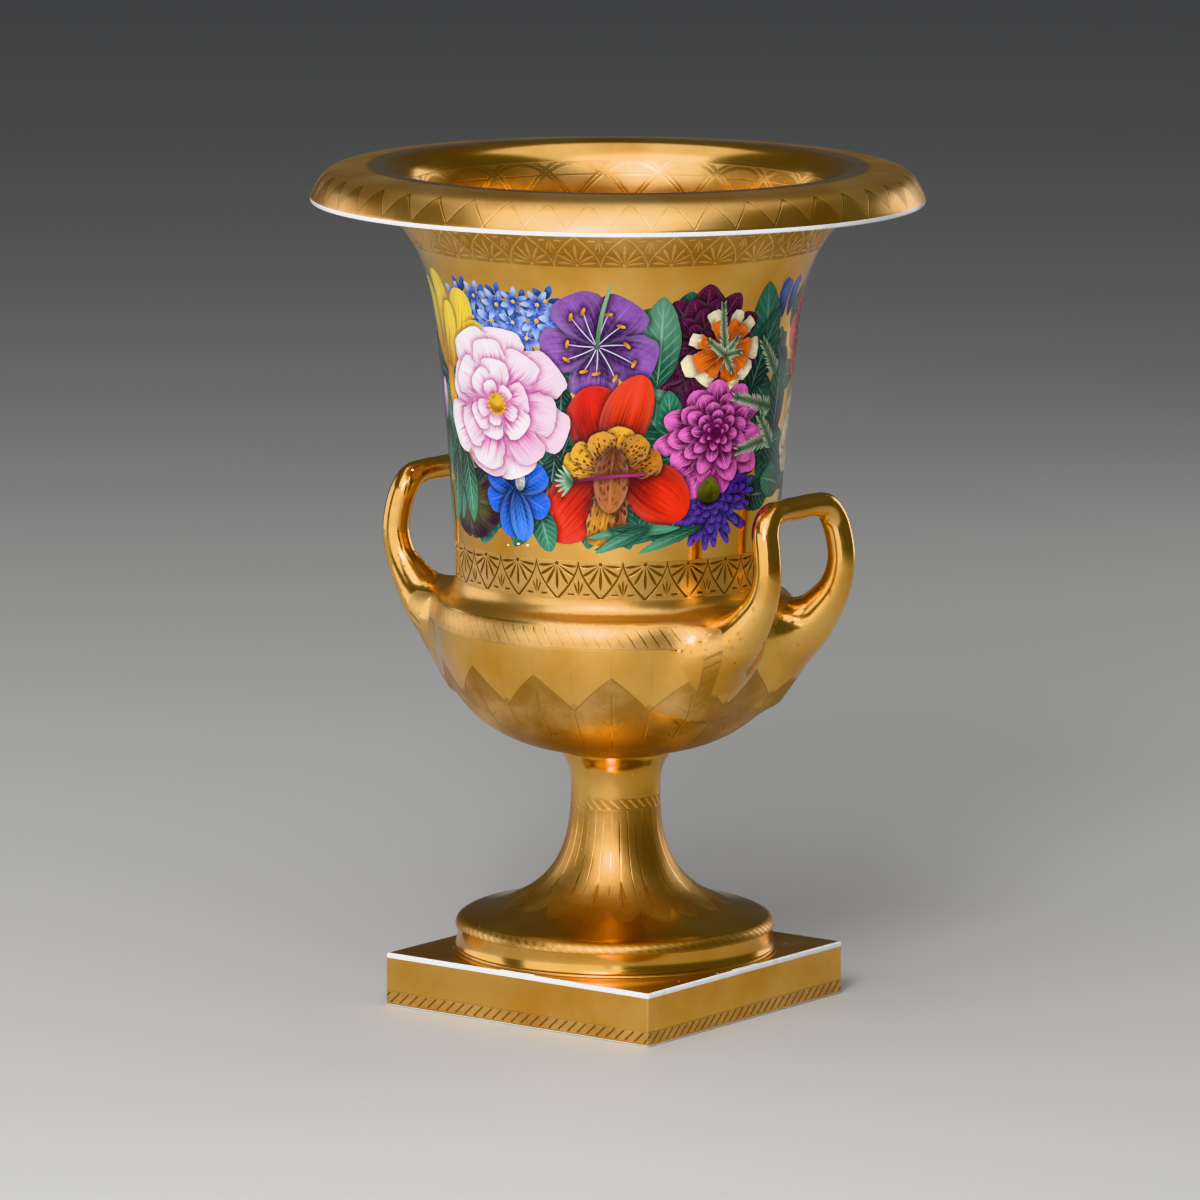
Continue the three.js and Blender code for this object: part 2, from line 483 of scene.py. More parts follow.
# Bell: the painted band's heights, its unrolled layout and the two tooled bands
bell = {
    "bandLow": 219.0, "bandHigh": 347.0, "unroll": 78.0, "grid": 4.0, "margin": 0.4, "shadeReach": 2.6,
    "mapGap": 5.0, "front": 36.79,  # turn of the side that faces the camera
    "lower": {
        "start": 198.2, "end": 215.8, "count": 23, "tall": 17.6, "radius": 73.2, "lining": (71.5, 72.0),
    },
    "upper": {
        "start": 365.5, "end": 350.7, "count": 28, "tall": 17.0, "radius": 97.0, "lining": (92.0, 93.0),
    },
}


def palmettes(spot, kind):
    # ground and strokes of a tooled band, kept off the lining behind it
    b = bell[kind]
    pitch = 2 * math.pi * b["radius"] / b["count"]
    drawn = ring(palmetteBand, spot, b["start"], b["end"], Count=b["count"], Pitch=pitch, Tall=b["tall"])
    outside = ease(spot["Radius"], *b["lining"])
    return drawn["Matt"] * outside, drawn["Stroke"] * outside


# Lip: the rolled rim with its tongues, the bare edge and the tooled mouth
lip = {
    "bottom": 372.1, "tongueTop": 382.6, "tongues": 46, "crestIn": 110.0, "mattTop": 377.0,
    "mouthLow": 358.0, "arcs": 11, "arcGap": 2.28, "lineHeight": 371.0, "underIn": 1.6, "edgeRound": 0.7,
}


def lipMasks(spot):
    radius, height = spot["Radius"], spot["Height"]
    mouth = ease(radius - (height - 361.0) * 0.42, 97.3, 96.1)  # 1 on the inner face, 0 on the roll
    roll = 1 - mouth
    crest, low, high = lip["crestIn"], lip["mouthLow"], lip["mattTop"]
    tongues = ring(tongueBand, spot, lip["bottom"], lip["tongueTop"], Count=lip["tongues"], Peak=1.35)
    ground, palmette = palmettes(spot, "upper")
    rim = (1 - tongues["Inside"] * 0.32) * ease(radius, crest, crest + 6)
    outlines = tongues["Stroke"] * ease(radius, crest + 6, crest + 12) * 0.5
    lines = [ease(abs(height - lip["lineHeight"]), 0.5, 0.2)]
    for shift in (0.0, 0.5 / lip["arcs"]):
        for sink in (0.0, lip["arcGap"]):
            turn = spot["Turn"] + shift
            arc = ring(tongueBand, spot, low - sink, high - sink, Turn=turn, Count=lip["arcs"])
            lines.append(arc["Stroke"])
    mouthLines = most(*lines) * mouth * ease(height, high, high - 0.5) * 0.45
    return {
        "Matt": most(rim, mouth * (0.35 + ease(height, high + 0.3, high) * 0.65), ground * roll),
        "Stroke": most(outlines, mouthLines, palmette * roll),
        # strokes get painted shade only on the roll, and stay bright in the mouth and in the band below
        "Ink": roll * ease(height, bell["upper"]["start"] + 0.5, lip["bottom"]) * 0.35,
        # painted shade darkens the band's ground under the roll; the mouth is also darker, and the rest a
        # little
        "Dust": most(mouth * 0.6, ground * 0.8, 0.1),
        "Rubbed": 0.14,
    }


def buildLip():
    v = vessel
    edge, bottom = v["lipRadius"], v["lipBottom"]
    under = (edge - lip["underIn"], bottom)
    profile = chain(
        bend(v["neck"], v["rollPulls"], v["rollUnder"], 22),
        bend(v["rollUnder"], v["underLipPulls"], under, 16),
        bend(under, [(edge, bottom)], (edge, bottom + lip["edgeRound"]), 4),
        bend((edge, bottom + v["lipEdge"]), v["lipPulls"], v["crest"], 34),
        bend(wallInside[-1], v["mouthPulls"], v["crest"], 26)[::-1],
    )
    points, faces, rows = turned(profile, closed=True)
    bare = (profile[:, 0] > edge - 2.0) & (profile[:, 1] < bottom + v["lipEdge"] - 0.1)
    newPiece("urnLip", points, faces, [gild("giltLip", lipMasks), barePorcelain], *vesselNode, bare[rows])


buildLip()
print("stage: lip made")


# Bowl with both handles: one skin that runs smoothly from the bowl into the loops
bowl = {
    "ropeLow": 177.0, "ropeHigh": 187.2, "ropeCount": 96, "leafTip": 164.0, "leafCount": 14,
    "leafTurn": 0.116, "stripeTurn": 0.0714, "stripeHalf": 3.4, "stripeLow": 148.0, "cell": 1.25,
    "fillet": 15.0, "fuseTop": 214.0,
    "lining": {"Matt": 0.4, "Stroke": 0.0, "Rubbed": 0.1, "Ink": 0.0, "Dust": 0.5},
    # half of a loop's centreline, each place with the strand's half thickness and half width
    "loop": [
        (59.6, 21.8, 152, 12.2, 16), (75.6, 25.4, 171.1, 13.7, 16), (86.4, 26.5, 179.8, 12.2, 14),
        (95.2, 27.4, 188.7, 9.8, 10), (102.5, 28.2, 199.4, 7.4, 7), (105.6, 28.5, 211, 6.3, 6.3),
        (104.8, 28, 222, 6.2, 6.2), (102.8, 26.4, 230.8, 6.2, 6.2), (101.8, 21.6, 236.6, 5.9, 5.9),
        (101.4, 12, 238.4, 5.3, 5.3), (101.4, 0, 238.4, 5.3, 5.3),
    ],
}


def bowlMasks(spot):
    turn, height = spot["Turn"], spot["Height"]
    half, stripeLow = bowl["stripeHalf"], bowl["stripeLow"]
    low, high = bowl["ropeLow"], bowl["ropeHigh"]
    rope = ring(ropeBand, spot, low, high, Count=bowl["ropeCount"], Breadth=0.09)
    calyx = ring(leafCalyx, spot, vessel["bowlSeat"][1], bowl["leafTip"], Turn=turn + bowl["leafTurn"],
                 Count=bowl["leafCount"])
    onBowl = ease(spot["Radius"], 86.5, 85.0)
    # the upright stripes by the handles, from the way to the middle of the nearer one, in mm
    side = (abs(abs(turn) - 0.25) - bowl["stripeTurn"]) * spot["Radius"] * (2 * math.pi)
    stripe = ease(abs(side), half + 0.15, half - 0.15)
    stripe = stripe * span(height, stripeLow, stripeLow + 0.6, high - 0.6, high)
    onStripe = ease(abs(side), half, half - 0.5)
    twist = ease(abs(cell(height / 4.6 + side * 0.16)), 0.24, 0.1) * onStripe
    twist = twist * span(height, stripeLow, stripeLow + 2.0, low, low + 1.0)
    cove = ease(height, high - 1.0, high + 1.0) * 0.8
    matt = most(rope["Matt"], calyx["Matt"], cove) * onBowl + (1 - onBowl) * 0.3
    ropeStroke = rope["Stroke"] * (1 - onStripe) * 0.4 * onBowl
    return {
        "Matt": most(matt, stripe),
        "Stroke": most(ropeStroke, calyx["Stroke"] * onBowl, twist * 0.7),
        "Dust": ease(height, low, bowl["leafTip"]) * 0.9,  # the leaves are duller than the bands above
        # painted shade darkens the rope, leaf and stripe strokes
        "Ink": 0.55,
        "Rubbed": 0.12,
    }


def strandLine(samples):
    # centreline of the right loop, evenly spaced, with its directions and its section's half sizes
    half = np.array(bowl["loop"], float)
    knots = np.vstack([half * (1, -1, 1, 1, 1), half[-2::-1]])
    steps = np.sqrt(np.linalg.norm(np.diff(knots[:, :3], axis=0), axis=1))
    t = np.concatenate([[0], np.cumsum(steps)])
    slopes = np.gradient(knots, t, axis=0)
    fine = np.linspace(0, t[-1], samples * 6)
    i = np.clip(np.searchsorted(t, fine, side="right") - 1, 0, len(t) - 2)
    h = (t[i + 1] - t[i])[:, None]
    u = ((fine - t[i]) / h[:, 0])[:, None]
    path = (
        knots[i] * (2 * u**3 - 3 * u**2 + 1) + knots[i + 1] * (3 * u**2 - 2 * u**3)
        + slopes[i] * h * (u**3 - 2 * u**2 + u) + slopes[i + 1] * h * (u**3 - u**2)
    )
    run = np.concatenate([[0], np.cumsum(np.linalg.norm(np.diff(path[:, :3], axis=0), axis=1))])
    even = np.linspace(0, run[-1], samples)
    line = np.stack([np.interp(even, run, path[:, k]) for k in range(5)], axis=1)
    tangent = unit(np.gradient(line[:, :3], axis=0))
    normal = unit(np.array([1.0, 0, 0]) - tangent * tangent[:, :1])
    return line[:, :3], tangent, normal, np.cross(normal, tangent), line[:, 3], line[:, 4]


strand = strandLine(260)
skinProfile = np.vstack([[0, vessel["bowlSeat"][1]], wallOutside[wallOutside[:, 1] < bowl["fuseTop"] + 8]])


def turnedDistance(radius, height):
    # signed distance to the bowl's outline
    nearest = np.full(radius.shape, 1e9)
    for a, d in zip(skinProfile, np.diff(skinProfile, axis=0)):
        t = np.clip(((radius - a[0]) * d[0] + (height - a[1]) * d[1]) / (d**2).sum(), 0, 1)
        nearest = np.minimum(nearest, (radius - a[0] - t * d[0]) ** 2 + (height - a[1] - t * d[1]) ** 2)
    inside = (radius < radiusAt(height)) & (height > skinProfile[0, 1])
    return np.sqrt(nearest) * np.where(inside, -1, 1)


def strandDistance(points):
    # distance to the nearer loop, about the strand's thickness
    line, tangent, normal, across, thick, wide = strand
    folded = points * np.where(points[:, :1] < 0, (-1.0, -1.0, 1.0), (1.0, 1.0, 1.0))
    batches = np.array_split(folded, max(1, len(folded) // 4000))
    nearest = np.concatenate([((part[:, None] - line) ** 2).sum(axis=2).argmin(axis=1) for part in batches])
    away = folded - line[nearest]
    slide = (away * tangent[nearest]).sum(axis=1)
    index = np.arange(len(line))
    place = np.clip(nearest + slide / np.linalg.norm(line[1] - line[0]), 0, len(line) - 1)
    thickHere = np.interp(place, index, thick)
    outward = (away * normal[nearest]).sum(axis=1) / thickHere
    sideways = (away * across[nearest]).sum(axis=1) / np.interp(place, index, wide)
    atEnd = (nearest == 0) | (nearest == len(line) - 1)
    return (np.hypot(outward, sideways) - 1) * thickHere + np.where(atEnd, np.abs(slide), 0)


def skinDistance(points):
    # the bowl and the loops joined with a soft fillet
    body = turnedDistance(np.hypot(points[:, 0], points[:, 1]), points[:, 2])
    loops = np.full(len(points), 1e3)
    near = np.abs(points[:, 0]) > 50
    loops[near] = strandDistance(points[near])
    overlap = np.maximum(bowl["fillet"] - np.abs(body - loops), 0) / bowl["fillet"]
    return np.minimum(body, loops) - overlap**2 * bowl["fillet"] / 4


def skinSlope(points, step=0.04):
    sides = [skinDistance(points + shift) - skinDistance(points - shift) for shift in np.eye(3) * step]
    return np.stack(sides, axis=1) / (2 * step)


def settle(points, rounds=4):
    # moves points onto the joined skin
    for _ in range(rounds):
        slope = skinSlope(points)
        steep = np.maximum((slope**2).sum(axis=1), 0.2)
        points = points - np.clip(slope * (skinDistance(points) / steep)[:, None], -1.5, 1.5)
    return points


def roughSkin():
    # bowl and loop tubes fused at an even cell size
    top = bowl["fuseTop"]
    points, faces, _ = turned(np.vstack([skinProfile[::2], [radiusAt(top), top], [0, top]]))
    line, _, normal, across, thick, wide = strand
    sides = 16
    angle = 2 * math.pi * np.arange(sides) / sides
    out, along = np.cos(angle), np.sin(angle)
    tube = np.concatenate([
        line[i] + np.outer(out * thick[i], normal[i]) + np.outer(along * wide[i], across[i])
        for i in range(0, len(line), 2)
    ])
    for flip in ((1, 1, 1), (-1, -1, 1)):
        start = len(points)
        points = np.vstack([points, tube * flip])
        last = len(points) - sides
        for low in range(start, last, sides):
            for j in range(sides):
                m = (j + 1) % sides
                faces.append((low + j, low + m, low + sides + m, low + sides + j))
        faces.append(tuple(range(start, start + sides))[::-1])
        faces.append(tuple(range(last, last + sides)))
    mesh = newMesh("roughSkin", points, faces)
    bm = bmesh.new()
    bm.from_mesh(mesh)
    bmesh.ops.recalc_face_normals(bm, faces=bm.faces)
    bm.to_mesh(mesh)
    bm.free()
    rough = newObject("roughSkin", mesh)
    fuse = rough.modifiers.new("fuse", "REMESH")
    fuse.mode = "VOXEL"
    fuse.voxel_size = bowl["cell"] * mm
    fused = applied(rough)
    bpy.data.objects.remove(rough)
    bpy.data.meshes.remove(mesh)
    return fused


def buildBowl():
    fused = roughSkin()
    settled = settle(readArray(fused.vertices, "co", 3) / mm)
    fused.vertices.foreach_set("co", (settled * mm).ravel())
    bm = bmesh.new()
    bm.from_mesh(fused)
    # the bowl is cut off level where the bell begins, and the loops stay whole
    middle = [v for v in bm.verts if v.co.xy.length < 90 * mm]
    chosen = set(middle)
    parts = middle + [part for part in (*bm.edges, *bm.faces) if chosen.issuperset(part.verts)]
    bmesh.ops.bisect_plane(bm, geom=parts, plane_co=(0, 0, seam * mm), plane_no=(0, 0, 1), clear_outer=True)
    rim = [e for e in bm.edges if e.is_boundary]
    floor = vessel["floor"]
    inner = wallInside[wallInside[:, 1] < seam - 0.4]
    lining, liningFaces, _ = turned(chain((0, floor), (inner[0, 0], floor), inner, seamInside))
    made = [bm.verts.new(p * mm) for p in lining]
    for face in liningFaces:
        bm.faces.new([made[i] for i in face[::-1]]).material_index = 1
    outerRim = set(rim)
    throat = [e for e in bm.edges if e.is_boundary and e not in outerRim]
    bmesh.ops.triangle_fill(bm, use_beauty=True, use_dissolve=False, edges=rim + throat, normal=(0, 0, 1))
    bmesh.ops.recalc_face_normals(bm, faces=bm.faces)
    bm.verts.index_update()
    points = np.array([v.co[:] for v in bm.verts]) / mm
    faces = [tuple(v.index for v in f.verts) for f in bm.faces]
    picks = [f.material_index for f in bm.faces]
    bm.free()
    bpy.data.meshes.remove(fused)
    materials = [gild("giltBowl", bowlMasks), gild("giltInside", lambda spot: bowl["lining"])]
    mesh = newPiece("urnBowl", points, faces, materials, *vesselNode, picks).data
    followSkin(mesh, np.abs(skinDistance(points)) < 0.3, unit(skinSlope(points)))
    print("stage: bowl and handles made,", len(faces), "faces")


buildBowl()


# Foot: collar, stem, lotus leaves, rounded edge and polished ring
foot = {
    "bottom": 26.5, "ringRadius": 73.4, "ringTop": 36.0, "ringHollow": (71.8, 31), "edge": (66, 42),
    "neck": (20.6, 98), "collar": (25.6, 117.2), "top": 118.0, "edgePulls": [(73.3, 39.4), (70.2, 41.1)],
    "sweepPulls": [(31, 49.5), (20.2, 67.6)], "stemPulls": [(20, 110.5), (23.6, 112.6)],
    "ropeLow": 92.0, "ropeHigh": 97.6, "ropeCount": 30, "edgeRopeLow": 35.9, "edgeRopeHigh": 40.4,
    "edgeRopeCount": 104, "leafTop": 91.4, "leafEnd": 45.6, "leafReach": 32.0, "leafCount": 18,
    "leafTurn": 0.006,
}


def footMasks(spot):
    stem = ring(ropeBand, spot, foot["ropeLow"], foot["ropeHigh"], Count=foot["ropeCount"])
    edge = ring(ropeBand, spot, foot["edgeRopeLow"], foot["edgeRopeHigh"], Count=foot["edgeRopeCount"])
    # share of the way along the sweep, from the rope to the leaf tips
    down = (foot["leafTop"] - spot["Height"]) / (foot["leafTop"] - foot["leafEnd"])
    out = (spot["Radius"] - foot["neck"][0]) / foot["leafReach"]
    leaves = useGroup(lotusLeaves, Turn=spot["Turn"] - foot["leafTurn"], Count=foot["leafCount"],
                      Drop=down * 0.62 + out * 0.38)
    return {
        "Matt": most(stem["Matt"], edge["Matt"], leaves["Matt"], 0.3),
        "Stroke": most(stem["Stroke"], edge["Stroke"] * 0.4, leaves["Stroke"] * 0.8),
        "Ink": 0.0,
        "Dust": 0.85,
        "Rubbed": 0.2,
    }


def buildFoot():
    f = foot
    radius, bottom, ringTop = f["ringRadius"], f["bottom"], f["ringTop"]
    profile = chain(
        (0, bottom),
        (radius - 0.5, bottom),
        bend((radius, bottom + 0.6), [f["ringHollow"]], (radius - 0.4, ringTop - 0.3), 14),
        bend((radius, ringTop), f["edgePulls"], f["edge"], 14),
        bend(f["edge"], f["sweepPulls"], f["neck"], 48),
        bend(f["neck"], f["stemPulls"], f["collar"], 18),
        (f["collar"][0] - 0.4, f["top"]),
        (0, f["top"]),
    )
    points, faces, _ = turned(profile)
    gilt = gild("giltFoot", footMasks, depth=0.06)
    newPiece("footTurned", points, faces, [gilt], "stem_foot", "gilt_foot")


buildFoot()
print("stage: foot made")


# Plinth: a square slab with bare white edges, a rope band at the bottom and a low round seat
plinth = {
    "side": 150.0, "height": 24.5, "edge": 1.1, "seatRadius": 74.4, "seatInner": 72.8, "seatFoot": 24.9,
    "seatTop": 26.2, "seatRoot": 12.0, "bareTop": 2.2, "bareFoot": 0.77, "ropeLow": 1.0, "ropeHigh": 7.0,
    "ropeCount": 112,
}


def plinthMasks(spot):
    across, deep, half = spot["Across"], spot["Deep"], plinth["side"] / 2
    onSides = ease(most(abs(across), abs(deep)), half - 1.0, half - 0.6)
    onTop = 1 - onSides
    front = ease(abs(deep) - abs(across), -0.01, 0.01)
    run = deep * (1 - front) + across * front  # along the side that is near
    rope = ring(ropeBand, spot, plinth["ropeLow"], plinth["ropeHigh"], Turn=run / (4 * plinth["side"]),
                Count=plinth["ropeCount"], Slant=-1.0, Breadth=0.13)
    return {
        "Matt": onTop * 0.75 + rope["Matt"] * onSides,
        "Stroke": rope["Stroke"] * onSides,
        # painted shade darkens the rope's strokes
        "Ink": 0.7,
        "Dust": onTop * 0.6,
        "Rubbed": 0.3,
    }


def buildPlinth():
    p = plinth
    bareLow, bareHigh = p["bareFoot"], p["height"] - p["bareTop"]
    bm = bmesh.new()
    bmesh.ops.create_cube(bm, size=1.0)
    for v in bm.verts:
        v.co = Vector((v.co.x * p["side"], v.co.y * p["side"], (v.co.z + 0.5) * p["height"])) * mm
    bmesh.ops.bevel(bm, geom=bm.edges[:], offset=p["edge"] * mm, segments=4, profile=0.5, affect="EDGES")
    for height in (bareLow, bareHigh):
        bmesh.ops.bisect_plane(bm, geom=bm.verts[:] + bm.edges[:] + bm.faces[:],
                               plane_co=(0, 0, height * mm), plane_no=(0, 0, 1))
    slab = bpy.data.meshes.new("slab")
    bm.to_mesh(slab)
    bm.free()
    seatEdge, inner = (p["seatRadius"], p["seatFoot"]), p["seatInner"]
    points, faces, _ = turned(chain(
        (0, p["seatRoot"]), (p["seatRadius"], p["seatRoot"]),
        bend(seatEdge, [(inner, p["seatFoot"])], (inner, p["seatTop"]), 8), (0, p["seatTop"]),
    ))
    body = newObject("slab", slab)
    seat = newObject("seat", newMesh("seat", points, faces))
    join = body.modifiers.new("join", "BOOLEAN")
    join.operation = "UNION"
    join.solver = "EXACT"
    join.object = seat
    joined = applied(body)
    for part in (body, seat):
        bpy.data.objects.remove(part)
    points = np.array([v.co[:] for v in joined.vertices]) / mm
    faces = [tuple(f.vertices) for f in joined.polygons]
    middles = np.array([points[list(f)].mean(axis=0) for f in faces])
    rim = np.abs(middles[:, :2]).max(axis=1) > p["side"] / 2 - p["edge"] - 0.05
    bare = rim & ((middles[:, 2] > bareHigh) | (middles[:, 2] < bareLow))
    materials = [gild("giltPlinth", plinthMasks), barePorcelain]
    newPiece("plinthSlab", points, faces, materials, "square_plinth", "gilt_plinth", bare)


buildPlinth()
print("stage: plinth made")


# Painted band: flower shapes are laid out on the unrolled bell, then become faces flush with its skin
palette = {
    # each colour at the petal's foot and at its tip
    "ground0": ("042a28", "14584a"), "ground1": ("08362c", "2c7258"), "ground2": ("052523", "104238"),
    "ground3": ("0b3c30", "3f8466"), "leafDark": ("062c26", "1c5e4a"), "leafMid": ("0a3c30", "347c60"),
    "leafPale": ("1c5642", "5f9a7c"), "leafHung": ("082f26", "3c8264"), "blade": ("0e4434", "4c8e6e"),
    "fir": ("557a5c", "c6d6b8"), "twig": ("5a4a3a", "8a9a72"), "bud": ("2c3612", "66722a"),
    "sky": ("2058c8", "b6d2f8"), "skyBehind": ("133487", "4d7dd6"), "pollen": ("d9a63a", "f0d27a"),
    "indigo": ("1f2c7c", "5a72c8"), "royal": ("04184e", "1f62d8"), "royalMid": ("04184e", "2468dc"),
    "royalPale": ("061f5e", "3a80ee"), "silver": ("7a828c", "eceef0"), "lilac": ("b45aa0", "efd0e8"),
    "yellow": ("b8780a", "f6d840"), "amber": ("c88a10", "e8b828"), "brownEye": ("6b3a12", "a8691f"),
    "plum": ("180110", "620c46"), "plumBack": ("1c0114", "6a0f4c"), "magenta": ("5a033a", "ea70c6"),
    "pink": ("5e0640", "e474c4"), "pinkAster": ("5e0640", "e6a5d8"), "blueAster": ("150c48", "5c48ae"),
    "blueDahlia": ("150c48", "6a58bc"), "violet": ("34124c", "8d58ae"), "violetBack": ("38185c", "8c5cb8"),
    "cream": ("c07a2c", "f6eecb"), "orange": ("7c2204", "f07414"), "scarlet": ("640402", "e8401c"),
    "smallRed": ("640402", "e02a0c"), "redBehind": ("520302", "c81a05"), "redTop": ("5c0302", "e83a10"),
    "red": ("5c0302", "e02a0a"), "oliveDark": ("5e5a2c", "2c0826"), "blueBack": ("04184e", "3a80ee"),
    "rust": ("5c2a10", "a9642f"), "honey": ("6a3212", "c98a2e"), "gold": ("7c3812", "eeb42e"),
    "goldDeep": ("7a4012", "e0a42e"), "ochre": ("5c2a10", "b8762c"), "goldWarm": ("8a4814", "e8ac2c"),
    "ochrePale": ("5c2a10", "cf9230"), "ochreMid": ("5c2a10", "c08430"), "heartBrown": ("64300f", "a5602e"),
    "stalk": ("6a0c46", "a53074"), "tuft": ("3c7a56", "a9cdb0"), "pistil": ("4f7f5c", "8fb893"),
    "chip": ("e9e6df", "f4f2ee"), "anther": ("b06a10", "eaa52c"), "antherPale": ("b06a10", "efc445"),
    # the double flowers' pale and rich colours, and their hearts
    "rose": ("fcf4f9", "c552a0"), "ivory": ("fbf3d6", "d89a34"), "peach": ("f6e0d0", "d8501c"),
    "roseHeart": ("a8680c", "efc445"), "ivoryHeart": ("a0700f", "efc445"),
    "peachHeart": ("7c3c22", "efc445"),
}
shapes = []
dice = random.Random(11)


def addPetal(turn, height, aim, length, width, tone, start=0.0, swell=(0.8, 0.5), bow=0.0, ruffle=0.0,
             streak=0.5, vein=0.0, spots=0.0, stretch=(1.0, 1.0)):
    # aim is in degrees, 0 up and 90 to the right; swell gives the taper at the foot and at the tip
    angle = math.radians(aim)
    along = np.array([math.sin(angle), math.cos(angle)])
    base, tip = map(tint, palette.get(tone, tone))
    shape = {
        "centre": np.array([math.radians(turn) * bell["unroll"], height]), "along": along,
        "side": along[::-1] * (1, -1), "length": length, "width": width, "start": start, "swell": swell,
        "bow": bow, "stretch": np.array(stretch), "style": (streak, vein, spots), "base": base, "tip": tip,
        "mark": (len(shapes) * 0.377) % 1.0,
    }
    steps = int(np.clip(length / 1.5, 5, 14))
    s = (1 - np.cos(np.pi * np.arange(steps + 1) / steps)) / 2
    half = halfWidth(shape, s) * (1 + ruffle * np.sin(s * 19 + len(shapes)))
    right, left = (np.stack([s * length, bow * length * s**2 + way * half], axis=1) for way in (1, -1))
    shape["rim"] = fromPetal(shape, np.concatenate([right, left[-2:0:-1]]))
    inner = []
    if width > 4.5:
        lanes = (-0.5, 0.0, 0.5) if width > 11 else (0.0,)
        for share in np.linspace(0.12, 0.88, max(3, steps // 2)):
            for lane in lanes:
                inner.append((share * length, bow * length * share**2 + lane * halfWidth(shape, share)))
    shape["inner"] = fromPetal(shape, np.array(inner).reshape(-1, 2))
    shapes.append(shape)


def halfWidth(shape, s):
    root, tip = shape["swell"]
    peak = root / (root + tip)
    s = np.clip(s, 0, 1)
    return shape["width"] / 2 * s**root * (1 - s) ** tip / (peak**root * (1 - peak) ** tip)


def fromPetal(shape, local):
    # a petal that would pass the band's edge ends there
    spread = (local[:, :1] + shape["start"]) * shape["along"] + local[:, 1:] * shape["side"]
    place = shape["centre"] + spread * shape["stretch"]
    place[:, 1] = np.clip(place[:, 1], bell["bandLow"] + bell["margin"], bell["bandHigh"] - bell["margin"])
    return place


def toPetal(shape, points):
    # share along the petal and share across it
    away = (points - shape["centre"]) / shape["stretch"]
    s = (away @ shape["along"] - shape["start"]) / shape["length"]
    across = away @ shape["side"] - shape["bow"] * shape["length"] * s**2
    return np.clip(s, 0, 1), np.clip(across / np.maximum(halfWidth(shape, s), 0.05), -1, 1)


def beside(turn, height, aim, step, stretch=(1.0, 1.0)):
    # the place one step away
    angle = math.radians(aim)
    sideways = math.degrees(math.sin(angle) * step * stretch[0] / bell["unroll"])
    return turn + sideways, height + math.cos(angle) * step * stretch[1]


def mixed(first, second, share):
    pairs = [(int(first[i:i + 2], 16), int(second[i:i + 2], 16)) for i in (0, 2, 4)]
    return "".join("%02x" % round(a * (1 - share) + b * share) for a, b in pairs)


def rosette(turn, height, count, inner, outer, width, tone, twist=0.0, jitter=6.0, droop=0.0, **more):
    # droop makes the hanging petals longer
    for k in range(count):
        aim = twist + 360 * k / count + dice.uniform(-jitter, jitter)
        reach = outer * dice.uniform(0.93, 1.05) * (1 - droop * math.cos(math.radians(aim)))
        broad = width * dice.uniform(0.9, 1.1)
        addPetal(turn, height, aim, reach - inner, broad, tone, start=inner, **more)


def eye(turn, height, radius, tone, stretch=(1.0, 1.0)):
    addPetal(turn, height, 0, 2 * radius, 2 * radius, tone, start=-radius, swell=(0.5, 0.5), streak=0.4,
             stretch=stretch)


def leaf(turn, height, aim, length, width, tone, bow=0.0, vein=1.0):
    addPetal(turn, height, aim, length, width, tone, swell=(0.7, 0.75), bow=bow, ruffle=0.03, streak=0.3,
             vein=vein)


def doubleFlower(turn, height, size, tone, heart, stretch):
    # broad streaked petals in loose rings, richer towards the lower right
    pale, rich = palette[tone]
    eye(turn, height, size * 0.5, (rich, mixed(pale, rich, 0.4)), stretch)
    rings = (
        (8, 0.36, 1.0, 0.62, 14), (7, 0.26, 0.86, 0.52, 38), (6, 0.14, 0.56, 0.4, 8),
        (5, 0.08, 0.33, 0.22, 40),
    )
    for count, inner, outer, width, twist in rings:
        for k in range(count):
            aim = twist + 360 * k / count + dice.uniform(-12, 12)
            deep = 0.5 - 0.5 * math.cos(math.radians(aim + 40))
            reach = outer * dice.uniform(0.84, 1.06)
            tip = mixed(pale, rich, 0.3 * deep * dice.uniform(0.0, 1.0))
            addPetal(turn, height, aim, size * (reach - inner), size * width * dice.uniform(0.85, 1.12),
                     (mixed(pale, rich, 0.75 + 0.25 * deep), tip), start=size * inner, swell=(0.55, 0.3),
                     bow=dice.uniform(-0.1, 0.1), ruffle=0.06, streak=1.0, stretch=stretch)
    eye(turn, height, size * 0.12, heart, stretch)
    stamenCount = 14
    for k in range(stamenCount):
        place = beside(turn, height, 360 * k / stamenCount, size * 0.13, stretch)
        eye(*place, size * 0.028, palette[heart][::-1])


def dahlia(turn, height, size, tone, heart, stretch=(1.0, 1.0), droop=0.0):
    dark, light = palette[tone]
    rings = (
        (11, 1.0, 0.42), (10, 0.82, 0.37), (9, 0.62, 0.3), (8, 0.44, 0.22), (6, 0.28, 0.15),
        (5, 0.17, 0.09),
    )
    eye(turn, height, size * 0.6, (dark, mixed(dark, light, 0.3)), stretch)
    for order, (count, outer, width) in enumerate(rings):
        rosette(turn, height, count, size * outer * 0.5, size * outer, size * width, tone, twist=order * 17,
                droop=droop, swell=(0.4, 0.6), streak=1.0, vein=0.5, stretch=stretch)
    eye(turn, height, size * 0.05, (heart, dark), stretch)


def aster(turn, height, size, tone, stretch):
    eye(turn, height, size * 0.55, palette[tone][:1] * 2, stretch)
    for order, outer in enumerate((1.0, 0.84, 0.68, 0.52, 0.36, 0.22)):
        rosette(turn, height, 24 - order * 3, size * outer * 0.4, size * outer, size * 0.15, tone,
                twist=order * 9, swell=(0.6, 0.45), streak=0.6, vein=0.5, stretch=stretch)


def openFlower(turn, height, size, tone, count=6, throat="35184f", twist=32):
    rosette(turn, height, count, size * 0.04, size, size * 4.4 / count, tone, twist=twist,
            swell=(0.8, 0.34), ruffle=0.04, streak=1.0, vein=0.25)
    eye(turn, height, size * 0.08, (throat, palette[tone][0]))


